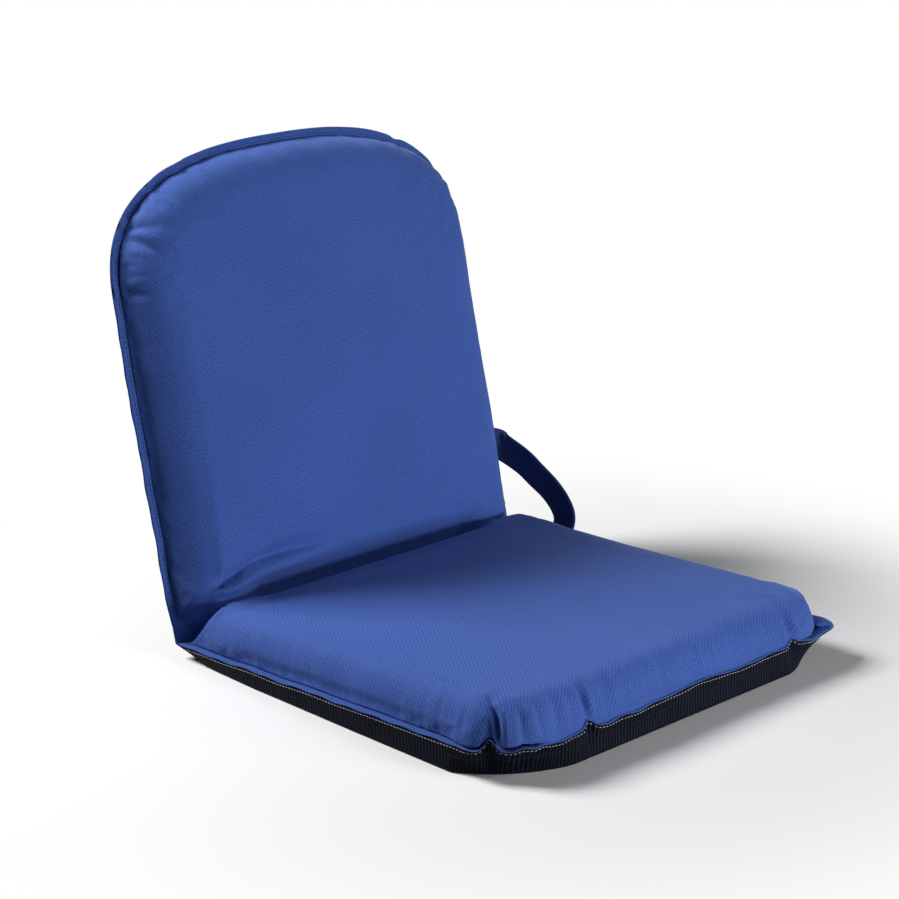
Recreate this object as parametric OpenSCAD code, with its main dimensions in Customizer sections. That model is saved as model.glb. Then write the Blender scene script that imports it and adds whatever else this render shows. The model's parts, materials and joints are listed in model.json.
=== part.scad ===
// Folding floor chair: two padded halves on steel tube frames, joined by two ratchet hinges.
// Each half is drawn lying flat, with y running from the hinge corner along the half and z
// towards the pad, and is then turned to its place. The floor is z = 0 and the chair faces -y.

/* [Overall] */
// Width over the side seams
chair_w = 420; // [360:5:480]
// Seat length from the hinge corner to the front seam
seat_len = 404; // [360:2:460]
// Back length from the hinge corner to the top seam
back_len = 427; // [380:1:500]
// Lean of the back from upright, in degrees
recline = 13.6; // [8:0.2:20]
// Rise of the seat seam towards the front, in degrees
seat_rise = 2; // [1:0.1:3]
// Height of the seam above the floor at the hinge corner
corner_h = 12.5; // [10:0.5:16]

/* [Pads] */
// Height of the pads above the seam
pad_h = 37; // [34:1:44]
// Width of the rounded edge of a pad
pad_edge = 34; // [26:1:44]
// Extra height at the middle of a pad
pad_crown = 4; // [1:0.5:8]
// Height that the back pad loses towards its top
top_thin = 5; // [0:1:10]
// How far the pads' sides pull in half way along
side_draw = 2.5; // [0:0.5:5]
// Corner radius at the front of the seat
front_corner_r = 42; // [30:2:70]
// Height of the arch at the top of the back
arch_h = 128; // [100:2:160]
// Fullness of the arch, where 2 is an ellipse
arch_full = 2.6; // [2.2:0.1:3.2]
// Height of the join between the lower and upper foam
foam_split = 19.5; // [19:0.5:22]
// Slack between foam and cover
foam_slack = 0.3; // [0.2:0.1:1]

/* [Covers] */
// Thickness of the cover fabrics
cover_t = 1; // [0.6:0.1:1.4]
// Width of the seam allowance that stands out round both halves
seam_w = 8; // [5:0.5:12]
// Thickness of the seam allowance
seam_t = 1.6; // [1.2:0.1:2.4]
// How far the seam allowance reaches in under the covers
seam_tuck = 2; // [1.5:0.5:4]
// Depth of the fold between the pads, from their tops
fold_depth = 3; // [2:0.5:5]

/* [Frame] */
// Outer diameter of the frame tubes
tube_d = 16; // [14:1:17]
// Wall of the frame tubes
tube_wall = 1.5; // [1:0.1:1.8]
// Height of the tube axis above the seam
tube_h = 10.5; // [9.5:0.5:11]
// Distance from the stitching to the tube axis
tube_inset = 30; // [26:1:40]
// Bend radius of the seat tube
seat_bend_r = 60; // [40:5:90]
// Bend radius of the back tube
back_bend_r = 110; // [80:5:130]
// Outer diameter of the cross tubes
cross_d = 12; // [8:1:14]
// Wall of the cross tubes
cross_wall = 1.2; // [0.8:0.1:2]
// Distance from the hinge corner to the seat's cross tube
seat_cross_y = 150; // [120:5:250]
// Distance from the hinge corner to the back's cross tube
back_cross_y = 140; // [120:5:250]
// Distance from the hinge corner to the ends of the frame tubes
tube_start = 44; // [43:1:48]

/* [Hinges] */
// Height of the hinge pin above the seam
pivot_h = 20; // [19:0.5:22]
// Clicks from the pictured position to each limit
clicks = 5; // [5:1:6]
// Radius over the ratchet's teeth
ratchet_r = 13.8; // [12.5:0.1:14]
// Depth of the ratchet's teeth
tooth_depth = 2.6; // [2:0.1:2.8]
// Thickness of the ratchet plates
ratchet_t = 4; // [3:0.5:4]
// Thickness of each hinge cheek
cheek_t = 2; // [1.5:0.1:2.2]
// Gap between a ratchet plate and each cheek
cheek_gap = 0.3; // [0.2:0.1:0.4]
// Diameter of the hinge pins
pin_d = 8; // [6:0.5:10]
// Radial running clearance of the pins
run_gap = 0.05; // [0.03:0.01:0.08]
// Diameter of the pawl pins
pawl_pin_d = 4; // [3:0.5:5]
// Diameter of the frame rivets
rivet_d = 4; // [3:0.5:5]
// Height of the rivet heads
head_h = 1.5; // [1:0.1:2]
// Gap between a resting pawl and the teeth
mesh_gap = 0.2; // [0.15:0.05:0.3]
// Thickness of the pawls
pawl_t = 3.6; // [2.8:0.1:3.8]
// Thickness of the pawl springs
spring_t = 0.6; // [0.4:0.1:0.7]

/* [Strap] */
// Width of the carrying strap
strap_w = 30; // [22:1:36]
// Thickness of the carrying strap
strap_t = 2.4; // [1.6:0.2:3]
// Distance from the hinge corner to the strap's seam on the back
strap_back_y = 95; // [80:1:120]
// Distance from the hinge corner to the strap's seam on the seat
strap_seat_y = 47; // [40:1:70]
// How far the strap bows out past the seam
strap_bow = 24; // [16:1:40]

/* [Hidden] */
$fn = 48;

// One overrun serves all cuts
cut = 1;

// The angle between the halves as pictured, and how far each click turns the back
open_angle = 90 + recline - seat_rise;
click_angle = (180 - open_angle) / clicks;
closed_angle = open_angle - clicks * click_angle;

// The seat's middle is at y = 0
corner_y = seat_len * cos(seat_rise) / 2;
// The hinge pin stands over this point of each half
pivot_y = pivot_h / tan(open_angle / 2);

// The stitching and the seam, in half widths
stitch_x = chair_w / 2 - seam_w;
seam_top = seam_t / 2;
tube_x = stitch_x - tube_inset;
tube_bore = tube_d - 2 * tube_wall;

// Nearer the hinge than crease_y the pads squeeze when the chair folds
crease_y = pivot_y + (pad_h - pivot_h + foam_slack) / tan(closed_angle / 2);
// The rigid cloth starts here, clear of the other half when the chair lies flat
seam_y = pivot_y + foam_slack + seam_tuck;
// The lower foam and the base cover start here, clear of the turning cheeks
foam_y = pivot_y + ratchet_r + 3 * cheek_t / 2;
base_y = foam_y + cheek_t / 2;
// The pockets in the foam round the hinges
pocket_w = tube_d + 8 * head_h / 2;
pocket_y = tube_start + 5 * tube_d / 2;

module on_seat() translate([0, corner_y, corner_h]) rotate([-seat_rise, 0, 0]) mirror([0, 1, 0]) children();
module on_back() translate([0, corner_y, corner_h]) rotate([90 - recline, 0, 0]) children();
module both_sides() for (side = [-1, 1]) translate([side * tube_x, 0, 0]) children();
module at_side(side) translate([side * tube_x, 0, 0]) children();
// Turns a drawing of (y, z) into a plate of thickness t across the chair's width
module plate(t) rotate([90, 0, 90]) linear_extrude(t, center = true) children();
module at_pivot() translate([0, pivot_y, pivot_h]) children();

function polar(r, a) = [r * cos(a), r * sin(a)];
function lerp(a, b, t) = a + (b - a) * t;
function unit(v) = v / norm(v);

// Outline of a half

// A half's corner, as a point at angle a, for a stitching or seam inset by e
function seat_corner(a, e) = [
    chair_w / 2 - front_corner_r + (front_corner_r - e) * cos(a),
    seat_len - front_corner_r + (front_corner_r - e) * sin(a)
];
function back_corner(a, e) = [
    (chair_w / 2 - e) * pow(cos(a), 2 / arch_full),
    back_len - arch_h + (arch_h - e) * pow(sin(a), 2 / arch_full)
];
function corner_point(half, a, e) = half == "seat" ? seat_corner(a, e) : back_corner(a, e);
corner_steps = 14;
function side_points(half, e, first_y) = concat(
    [[chair_w / 2 - e, first_y]],
    [for (i = [0:corner_steps]) corner_point(half, 90 * i / corner_steps, e)]
);
module outline(half, e, first_y) {
    right = side_points(half, e, first_y);
    left = [for (i = [len(right) - 1:-1:0]) [-right[i][0], right[i][1]]];
    polygon(concat(right, half == "seat" ? left : [for (i = [1:len(left) - 1]) left[i]]));
}

// Pads and their covers, as rows of closed loops

edge_steps = 6;
crown_steps = 3;
edge_shares = [for (i = [0:edge_steps]) 1 - cos(90 * i / edge_steps)];
// Shares of the way along the straight part of a half
row_shares = [0, 0.2, 0.4, 0.6, 0.8, 1];
corner_angles = [22, 42, 58, 70, 79, 85];

function bulge(d, r) = let(t = min(1, max(0, d / r))) sqrt(1 - (1 - t) * (1 - t));
function half_len(half) = half == "seat" ? seat_len : back_len;
function corner_len(half) = half == "seat" ? front_corner_r : arch_h;
function thinning(half, y) = half == "seat" ? 0 : top_thin * pow(max(0, y - crease_y) / (half_len(half) - crease_y), 2);
function swell(half, y) = let(t = (y - crease_y) / (half_len(half) - crease_y)) max(0, 4 * t * (1 - t));
function draw_at(half, y) = side_draw * pow(sin(180 * min(1, y / half_len(half))), 2);

// Half width and place of each row of a pad that is set in by e from the stitching
function pad_rows(half, e, end_gap) = let(
    straight_y = half_len(half) - corner_len(half),
    last = half_len(half) - seam_w - e - end_gap
) concat(
    [for (s = row_shares) [chair_w / 2 - seam_w - e - draw_at(half, lerp(crease_y, straight_y, s)),
                           lerp(crease_y, straight_y, s)]],
    [for (a = corner_angles) let(p = corner_point(half, a, seam_w + e))
        if (p[1] < last) [p[0] - draw_at(half, p[1]), p[1]]],
    [[corner_point(half, 88, seam_w + e)[0], last]]
);

// Points across one row: up the rounded edge, over the crown and down again
function row_profile(half, row, low, high, edge, e) = let(
    w = row[0], y = row[1],
    r = min(edge, 4 * w / 5),
    end = bulge(half_len(half) - seam_w - e - y + foam_slack, edge),
    rise = (high - thinning(half, y) - low) * end,
    crown = pad_crown * swell(half, y)
) concat(
    [for (s = edge_shares) [-w + r * s, low + rise * bulge(r * s, r)]],
    [for (i = [1:crown_steps]) let(t = i / (crown_steps + 1))
        [lerp(-w + r, w - r, t), low + rise + crown * end * (1 - pow(2 * t - 1, 2))]],
    [for (i = [edge_steps:-1:0]) [w - r * edge_shares[i], low + rise * bulge(r * edge_shares[i], r)]]
);
function lift_row(points, y) = [for (p = points) [p[0], y, p[1]]];
function reversed(v) = [for (i = [len(v) - 1:-1:0]) v[i]];

// A solid through rows of closed loops. A shell's ends are closed from its outer to its inner line.
module loft(rows, shell) {
    n = len(rows[0]);
    m = len(rows);
    half = n / 2;
    points = [for (row = rows) each row];
    skin = [for (k = [0:m - 2], i = [0:n - 1]) let(a = k * n + i, b = k * n + (i + 1) % n)
        each [[a, b, b + n], [a, b + n, a + n]]];
    ends = shell
        ? [for (i = [0:half - 2]) let(a = i, b = i + 1, c = n - 2 - i, d = n - 1 - i, z = (m - 1) * n)
            each [[a, d, c], [a, c, b], [z + a, z + b, z + c], [z + a, z + c, z + d]]]
        : [for (i = [1:n - 2]) each [[0, i + 1, i], [(m - 1) * n, (m - 1) * n + i, (m - 1) * n + i + 1]]];
    polyhedron(points, concat(skin, ends), convexity = 8);
}

// The upper foam of a half lies under its cover. Its rounded edge starts foam_edge points in.
foam_edge = 3;
module upper_foam(half) {
    inset = cover_t + 3 * foam_slack;
    high = pad_h - cover_t - 2 * foam_slack;
    loops = [for (row = pad_rows(half, inset, 0)) let(
        across = row_profile(half, row, seam_top, high, pad_edge - inset, inset),
        top = [for (i = [foam_edge:len(across) - 1 - foam_edge]) across[i] - [0, foam_slack]]
    ) if (top[0][1] > foam_split + foam_slack)
        lift_row(concat([[top[0][0], foam_split]], top, [[-top[0][0], foam_split]]), row[1])];
    loft(loops, false);
}

// The cover over a pad: an outer surface, and an inner one a fabric's thickness inside it
module pad_cover(half) {
    outer = pad_rows(half, 0, 0);
    inner = pad_rows(half, cover_t, 0);
    loft([for (k = [0:len(outer) - 1]) concat(
        lift_row(row_profile(half, outer[k], seam_top, pad_h, pad_edge, 0), outer[k][1]),
        reversed(lift_row(row_profile(half, inner[k], seam_top, pad_h - cover_t, pad_edge - cover_t, cover_t),
                          inner[k][1]))
    )], true);
}

// The fold of cloth between the pads. Rows lean over from the seat's crease line to the bisector.
fold_lean = 1 / tan(open_angle / 2);
fold_low = seam_top + run_gap;
fold_foot_shares = [1, 0.72, 0.46, 0.26, 0.11, 0];
fold_lean_shares = [0, 0, 0.15, 0.42, 0.75, 1];
fold_drop_shares = [0, 0, 0, 0.08, 0.3, 1];
function fold_loop(k, inner) = let(
    high = pad_h - fold_depth * fold_drop_shares[k] - (inner ? cover_t : 0),
    w = stitch_x - draw_at("seat", crease_y) * fold_foot_shares[k] - (inner ? cover_t : 0),
    r = pad_edge - (inner ? cover_t : 0),
    foot = crease_y * fold_foot_shares[k],
    across = concat([for (s = edge_shares) -w + r * s],
                    [for (i = [1:crown_steps]) lerp(-w + r, w - r, i / (crown_steps + 1))],
                    [for (i = [edge_steps:-1:0]) w - r * edge_shares[i]])
) [for (x = across) let(z = fold_low + (high - fold_low) * bulge(w - abs(x), r))
    [x, foot + fold_lean * fold_lean_shares[k] * z, z]];
function turn(p, a) = [p[0], p[1] * cos(a) - p[2] * sin(a), p[1] * sin(a) + p[2] * cos(a)];
function seat_place(p) = turn([p[0], -p[1], p[2]], -seat_rise) + [0, corner_y, corner_h];
function back_place(p) = turn(p, 90 - recline) + [0, corner_y, corner_h];
function fold_row(k, on_back) = let(loop = concat(fold_loop(k, false), reversed(fold_loop(k, true))))
    [for (p = loop) on_back ? back_place(p) : seat_place(p)];

// Frame

module ring_profile(d, wall) difference() {
    circle(d = d);
    if (wall > 0) circle(d = d - 2 * wall);
}
// A U-shaped tube from tube_start to end_y. With no wall it is solid.
module bent_tube(end_y, bend_r, d, wall) {
    leg = end_y - bend_r - tube_start;
    for (side = [-1, 1]) {
        translate([side * tube_x, tube_start, 0]) rotate([-90, 0, 0]) linear_extrude(leg) ring_profile(d, wall);
        translate([side * (tube_x - bend_r), end_y - bend_r, 0]) rotate([0, 0, side > 0 ? 0 : 90])
            rotate_extrude(angle = 90) translate([bend_r, 0]) ring_profile(d, wall);
    }
    translate([0, end_y, 0]) rotate([0, 90, 0])
        linear_extrude(2 * (tube_x - bend_r), center = true) ring_profile(d, wall);
}
function tube_end(half) = half_len(half) - seam_w - tube_inset;
function bend_of(half) = half == "seat" ? seat_bend_r : back_bend_r;
function cross_of(half) = half == "seat" ? seat_cross_y : back_cross_y;
rivet_places = [tube_start + tube_d / 2 + rivet_d / 2, tube_start + 2 * tube_d - rivet_d / 2];

module frame_tube(half) translate([0, 0, tube_h]) difference() {
    bent_tube(tube_end(half), bend_of(half), tube_d, tube_wall);
    both_sides() for (y = rivet_places) translate([0, y, 0]) rotate([0, 90, 0])
        cylinder(d = rivet_d + 2 * run_gap, h = tube_d + 2 * cut, center = true);
}
module cross_tube(half) translate([0, cross_of(half), tube_h]) difference() {
    rotate([0, 90, 0]) linear_extrude(2 * tube_x, center = true) ring_profile(cross_d, cross_wall);
    both_sides() rotate([90, 0, 0]) cylinder(d = tube_d, h = 2 * tube_d, center = true);
}
module frame_space(half) translate([0, 0, tube_h]) {
    bent_tube(tube_end(half), bend_of(half), tube_d, 0);
    translate([0, cross_of(half), 0]) rotate([0, 90, 0]) cylinder(d = cross_d, h = 2 * tube_x, center = true);
}
module hinge_pockets() both_sides()
    translate([0, (foam_y + pocket_y) / 2 - cut, 0])
        cube([pocket_w, pocket_y - foam_y + 2 * cut, 4 * pad_h], center = true);
// The lower foam is moulded round the frame
module lower_foam(half, depth) difference() {
    translate([0, 0, -depth]) linear_extrude(depth + foam_split)
        outline(half, seam_w + cover_t + pad_edge / 3, foam_y);
    frame_space(half);
    hinge_pockets();
}
crease_foam_w = 2 * (tube_x - pocket_w / 2);
module crease_foam() {
    top = pad_h - cover_t - foam_slack;
    round = fold_depth + cover_t;
    at_crease = [[foam_y, foam_split], [foam_y, top - round], [foam_y + 2 * round, top - round / 4],
                 [foam_y + 5 * round, top], [crease_y, top], [crease_y, foam_split]];
    plate(crease_foam_w) polygon(at_crease);
}
// Rivets through the tube ends, with sleeves that hold the tails in the middle of the bore
sleeve_d = 3 * rivet_d / 2;
bore_reach = sqrt(pow(tube_bore / 2, 2) - pow(sleeve_d / 2, 2)) - run_gap;
module sleeve(from, to) translate([0, 0, from]) cylinder(d = sleeve_d, h = to - from);
module frame_rivets(tail_out, tail_in) both_sides() for (y = rivet_places)
    translate([0, y, tube_h]) rotate([0, 90, 0]) {
        cylinder(d = rivet_d, h = tube_d, center = true);
        sleeve(tail_out, bore_reach);
        sleeve(-bore_reach, -tail_out);
        if (tail_in > 0) sleeve(-tail_in, tail_in);
        for (end = [-1, 1]) translate([0, 0, end * (tube_d + head_h) / 2])
            cylinder(d = 2 * rivet_d, h = head_h, center = true);
    }

// Hinge

tail_h = tube_h - pivot_h;
tail_start = tube_start - pivot_y;
tail_len = 5 * tube_d / 2;
// A tail fits the tube's bore with this half height, for a half thickness of half_t
function tail_half(half_t) = sqrt(pow(tube_bore / 2 - mesh_gap, 2) - pow(half_t, 2));
ratchet_tail = tail_half(ratchet_t / 2);
cheek_out = ratchet_t / 2 + cheek_gap + cheek_t;
cheek_tail = tail_half(cheek_out);
root_r = ratchet_r - tooth_depth;
cheek_r = ratchet_r + cheek_gap;
pawl_boss_r = pawl_pin_d;
lobe_r = pawl_boss_r + cheek_t / 2;
// Seen from the hinge pin along the back: where the pawl's pin is, and the end of the pawl's nose.
// A tooth pushes the nose straight at the pawl's pin, so the pawl lifts out in place.
pawl_pin_r = ratchet_r + 14 * pawl_pin_d / 5;
pawl_pin_angle = -25;
pawl_at = polar(pawl_pin_r, pawl_pin_angle);
nose_angle = pawl_pin_angle - acos((ratchet_r + root_r) / 2 / pawl_pin_r);
// The steep face that the nose meets as pictured, in the seat's angles, where the gap is an arc
mesh_angle = mesh_gap / ratchet_r * 180 / PI;
first_tooth = open_angle - nose_angle + mesh_angle - (clicks + 1) * click_angle;

module tail(half_h, len) translate([tail_start - cut, tail_h - half_h]) square([len + cut, 2 * half_h]);
module tail_holes() for (y = rivet_places) translate([y - pivot_y, tail_h]) circle(d = rivet_d + 2 * run_gap);

// Saw teeth: each steep face stops the pawl's nose when the back is pushed down
module ratchet_disc() {
    teeth = 2 * clicks + 2;
    polygon(concat([for (k = [0:teeth - 1]) each [polar(root_r, first_tooth + k * click_angle),
                                                  polar(ratchet_r, first_tooth + k * click_angle)]],
                   [polar(root_r, first_tooth + teeth * click_angle), [0, 0]]));
    circle(r = root_r - mesh_gap);
}
// The neck between the teeth and the tail starts inside the disc
neck_in_r = root_r - tooth_depth;
neck_in_angles = [-100, 50];
module ratchet_plate() at_pivot() plate(ratchet_t) difference() {
    union() {
        ratchet_disc();
        polygon([polar(neck_in_r, neck_in_angles[0]), [tail_start, tail_h - ratchet_tail],
                 [tail_start, tail_h + ratchet_tail], polar(neck_in_r, neck_in_angles[1])]);
        tail(ratchet_tail, tail_len);
    }
    circle(d = pin_d + 2 * run_gap);
    tail_holes();
}
// The web of a cheek spans these angles of the hinge pin's disc, and these of the pawl pin's lobe
web_angles = [-75, 50];
lobe_angles = [-100, -70];
module cheek() difference() {
    union() {
        circle(r = cheek_r);
        translate(pawl_at) circle(r = lobe_r);
        polygon(concat(
            [polar(cheek_r - cheek_gap, web_angles[0])],
            [for (a = lobe_angles) pawl_at + polar(lobe_r - cheek_gap, a)],
            [[tail_start, tail_h - cheek_tail], [tail_start, tail_h + cheek_tail]],
            [polar(cheek_r - cheek_gap, web_angles[1])]
        ));
        tail(cheek_tail, tail_len);
    }
    circle(d = pin_d + 2 * run_gap);
    translate(pawl_at) circle(d = pawl_pin_d + 2 * run_gap);
    tail_holes();
}
module hinge_cheeks() at_pivot() for (side = [-1, 1])
    translate([side * (cheek_out - cheek_t / 2), 0, 0]) plate(cheek_t) cheek();
module headed_pin(d) rotate([0, 90, 0]) {
    cylinder(d = d, h = 2 * cheek_out, center = true);
    for (end = [-1, 1]) translate([0, 0, end * (cheek_out + head_h / 2)])
        cylinder(d = d + 2 * head_h, h = head_h, center = true);
}
module hinge_pin() at_pivot() headed_pin(pin_d);
module at_pawl() at_pivot() translate([0, pawl_at[0], pawl_at[1]]) children();
module pawl_pin() at_pawl() headed_pin(pawl_pin_d);

// The nose lies in the gap between two teeth, with the mesh gap beside each. The arm passes round
// the teeth from the nose to the boss, which the arm's ends reach into.
nose_r = root_r + 3 * mesh_gap / 2;
nose_back_r = ratchet_r + 3 * mesh_gap / 2;
arm_in_r = pawl_boss_r - 2 * mesh_gap;
arm_in_angles = [-100, 80];
module pawl() at_pivot() plate(pawl_t) difference() {
    union() {
        translate(pawl_at) circle(r = pawl_boss_r);
        polygon(concat(
            [polar(nose_back_r, nose_angle), polar(nose_back_r + tooth_depth, nose_angle + click_angle / 3)],
            [for (a = arm_in_angles) pawl_at + polar(arm_in_r, a)],
            [for (i = [3:-1:1]) polar(nose_back_r + mesh_gap, nose_angle + click_angle * (1 + i / 2))],
            [polar(nose_back_r, nose_angle + click_angle - mesh_angle), polar(nose_r, nose_angle)]
        ));
    }
    translate(pawl_at) circle(d = pawl_pin_d + 2 * run_gap);
}
// A leaf spring, welded in the mouth of the tube, that bears on the outer side of the pawl's arm
module pawl_spring() at_pivot() plate(pawl_t) {
    low = tail_h - sqrt(pow(tube_bore / 2, 2) - pow(pawl_t / 2, 2));
    bend = [pawl_at[0] + pawl_boss_r / 2, low];
    tip = pawl_at - pawl_boss_r * [11 / 4, 5 / 4];
    polygon([[tail_start + tube_d / 2, low], bend, tip - [0, spring_t], tip, bend + [0, spring_t],
             [tail_start + tube_d / 2, low + spring_t]]);
}

// Cloth round the halves

// The rigid cloth lies this far inside the seam's edge
hem_in = cover_t / 2;
// The space above the floor, raised by up, in the seat's own coordinates
module above_floor(up) mirror([0, 1, 0]) rotate([seat_rise, 0, 0])
    translate([-chair_w, -2 * seat_len, up - corner_h]) cube([2 * chair_w, 4 * seat_len, 4 * pad_h]);
module seat_shell(e, up, top) intersection() {
    translate([0, 0, -2 * pad_h]) linear_extrude(2 * pad_h + top) outline("seat", e, base_y - (up > 0 ? cut : 0));
    above_floor(up);
}
module seam_ring(half) translate([0, 0, -seam_top]) linear_extrude(seam_t) difference() {
    outline(half, 0, seam_y);
    outline(half, seam_w + seam_tuck, seam_y - cut);
}

module seat_tube() color("silver") on_seat() frame_tube("seat");
module seat_cross_tube() color("silver") on_seat() cross_tube("seat");
module seat_lower_foam() color("khaki") on_seat() intersection() {
    lower_foam("seat", corner_h + seat_len * tan(seat_rise));
    above_floor(cover_t + 2 * foam_slack);
}
module seat_upper_foam() color("khaki") on_seat() upper_foam("seat");
module seat_crease_foam() color("khaki") on_seat() crease_foam();
module seat_top_cover() color("royalblue") on_seat() pad_cover("seat");
module seat_base_cover() color("black") on_seat() difference() {
    seat_shell(hem_in, 0, -seam_top);
    seat_shell(hem_in + cover_t, cover_t, 0);
}
module seat_seam() color("royalblue") on_seat() seam_ring("seat");
module seat_rivets() color("dimgray") on_seat() frame_rivets(ratchet_t / 2, 0);
module ratchet_plate_left() color("gray") on_seat() at_side(-1) ratchet_plate();
module ratchet_plate_right() color("gray") on_seat() at_side(1) ratchet_plate();

module back_tube() color("silver") on_back() frame_tube("back");
module back_cross_tube() color("silver") on_back() cross_tube("back");
module back_lower_foam() color("khaki") on_back() lower_foam("back", -seam_top);
module back_upper_foam() color("khaki") on_back() upper_foam("back");
module back_crease_foam() color("khaki") on_back() crease_foam();
module back_front_cover() color("royalblue") on_back() pad_cover("back");
module back_rear_cover() color("black") on_back()
    translate([0, 0, -seam_top - cover_t]) linear_extrude(cover_t) outline("back", hem_in, seam_y);
module back_seam() color("royalblue") on_back() seam_ring("back");
module back_rivets() color("dimgray") on_back() frame_rivets(cheek_out, cheek_out - cheek_t);
module hinge_cheeks_left() color("gray") on_back() at_side(-1) hinge_cheeks();
module hinge_cheeks_right() color("gray") on_back() at_side(1) hinge_cheeks();
module hinge_pin_left() color("dimgray") on_back() at_side(-1) hinge_pin();
module hinge_pin_right() color("dimgray") on_back() at_side(1) hinge_pin();
module pawl_pin_left() color("dimgray") on_back() at_side(-1) pawl_pin();
module pawl_pin_right() color("dimgray") on_back() at_side(1) pawl_pin();
module pawl_left() color("slategray") on_back() at_side(-1) pawl();
module pawl_right() color("slategray") on_back() at_side(1) pawl();
module pawl_spring_left() color("lightsteelblue") on_back() at_side(-1) pawl_spring();
module pawl_spring_right() color("lightsteelblue") on_back() at_side(1) pawl_spring();

module crease_cover() color("royalblue") loft(concat(
    [for (k = [0:len(fold_foot_shares) - 1]) fold_row(k, false)],
    [for (k = [len(fold_foot_shares) - 2:-1:0]) fold_row(k, true)]
), true);
// The base cloth where it turns up round the hinge corner
base_depth = (corner_h + base_y * sin(seat_rise)) / cos(seat_rise);
module corner_cover() color("black") {
    slope = cover_t * base_y / base_depth;
    on_seat() {
        plate(chair_w - 2 * hem_in) polygon([[0, -seam_top], [base_y, -base_depth],
                                             [base_y, -base_depth + cover_t], [slope, -seam_top]]);
        for (side = [-1, 1]) translate([side * (chair_w / 2 - hem_in - cover_t / 2), 0, 0]) plate(cover_t)
            polygon([[slope, -seam_top], [base_y, cover_t - base_depth], [base_y, -seam_top]]);
    }
    on_back() translate([hem_in - chair_w / 2, 0, -seam_top - cover_t])
        cube([chair_w - 2 * hem_in, seam_y, cover_t]);
    on_seat() rotate([0, 90, 0])
        cylinder(r = seam_top + cover_t, h = chair_w - 2 * (seam_w + seam_tuck), center = true);
}
module corner_seam(side) {
    reach = seam_w + seam_tuck;
    strip_x = side * (chair_w / 2 - reach / 2);
    on_seat() translate([strip_x, seam_y / 2, 0]) cube([reach, seam_y, seam_t], center = true);
    on_back() translate([strip_x, seam_y / 2, 0]) cube([reach, seam_y, seam_t], center = true);
    on_seat() translate([strip_x, 0, 0]) rotate([0, 90, 0]) cylinder(d = seam_t, h = reach, center = true);
}
module corner_seam_left() color("royalblue") corner_seam(-1);
module corner_seam_right() color("royalblue") corner_seam(1);

// The strap leaves both side seams sideways, bows out and turns down between them.
// Each station is shares of the bow, of the back seam's distance and of its height.
strap_out_shares = [0, 0.1, 0.42, 0.68, 0.84, 0.94, 1, 0.98, 0.83, 0.58, 0.25, 0];
strap_along_shares = [0, 0.01, 0.105, 0.365, 0.61, 0.84, 1.015, 1.087, 1.101, 1.087, 1.043, 1];
strap_down_shares = [0, 0.014, 0.08, 0.2, 0.333, 0.477, 0.62, 0.742, 0.853, 0.93, 0.983, 1];
strap_turn_angles = [-13.6, -12, 24, 27, 43, 57, 67, 74, 84, 90, 90, 92];
strap_top = back_place([chair_w / 2, strap_back_y, 0]);
strap_end = seat_place([chair_w / 2, strap_seat_y, 0]);
function strap_at(i) = [
    chair_w / 2 + strap_bow * strap_out_shares[i],
    lerp(strap_top[1], strap_end[1], strap_along_shares[i]),
    lerp(strap_top[2], strap_end[2], strap_down_shares[i])
];
module carry_strap() color("midnightblue") {
    n = len(strap_out_shares);
    loft([for (i = [0:n - 1]) let(
        here = strap_at(i),
        ahead = (i == 0 || i == n - 1) ? [i == 0 ? 1 : -1, 0, 0] : strap_at(i + 1) - strap_at(i - 1),
        wide = [0, -sin(strap_turn_angles[i]), cos(strap_turn_angles[i])],
        thick = unit(cross(ahead, wide)) * strap_t / 2,
        edge = wide * strap_w / 2
    ) [here - edge - thick, here + edge - thick, here + edge + thick, here - edge + thick]], false);
}

seat_tube();
seat_cross_tube();
seat_lower_foam();
seat_upper_foam();
seat_crease_foam();
seat_top_cover();
seat_base_cover();
seat_seam();
seat_rivets();
ratchet_plate_left();
ratchet_plate_right();
back_tube();
back_cross_tube();
back_lower_foam();
back_upper_foam();
back_crease_foam();
back_front_cover();
back_rear_cover();
back_seam();
back_rivets();
hinge_cheeks_left();
hinge_cheeks_right();
hinge_pin_left();
hinge_pin_right();
pawl_pin_left();
pawl_pin_right();
pawl_left();
pawl_right();
pawl_spring_left();
pawl_spring_right();
crease_cover();
corner_cover();
corner_seam_left();
corner_seam_right();
carry_strap();
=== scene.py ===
"""Looks of a folding floor chair: padded blue covers, coated black base, seam, stitches and strap.

Sizes in this file are in millimetres until a mesh is made, and every mesh is in metres. Each half
of the chair is described lying flat: x across, s from the hinge corner along the half, and z
towards the pad. Half.place() turns that to the chair's own frame.
"""
from __future__ import annotations

import json
import logging
import math
from dataclasses import dataclass
from enum import Enum
from typing import Callable, Iterable, Sequence

import bmesh
import bpy
import numpy as np
from mathutils import Matrix, Vector

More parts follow.
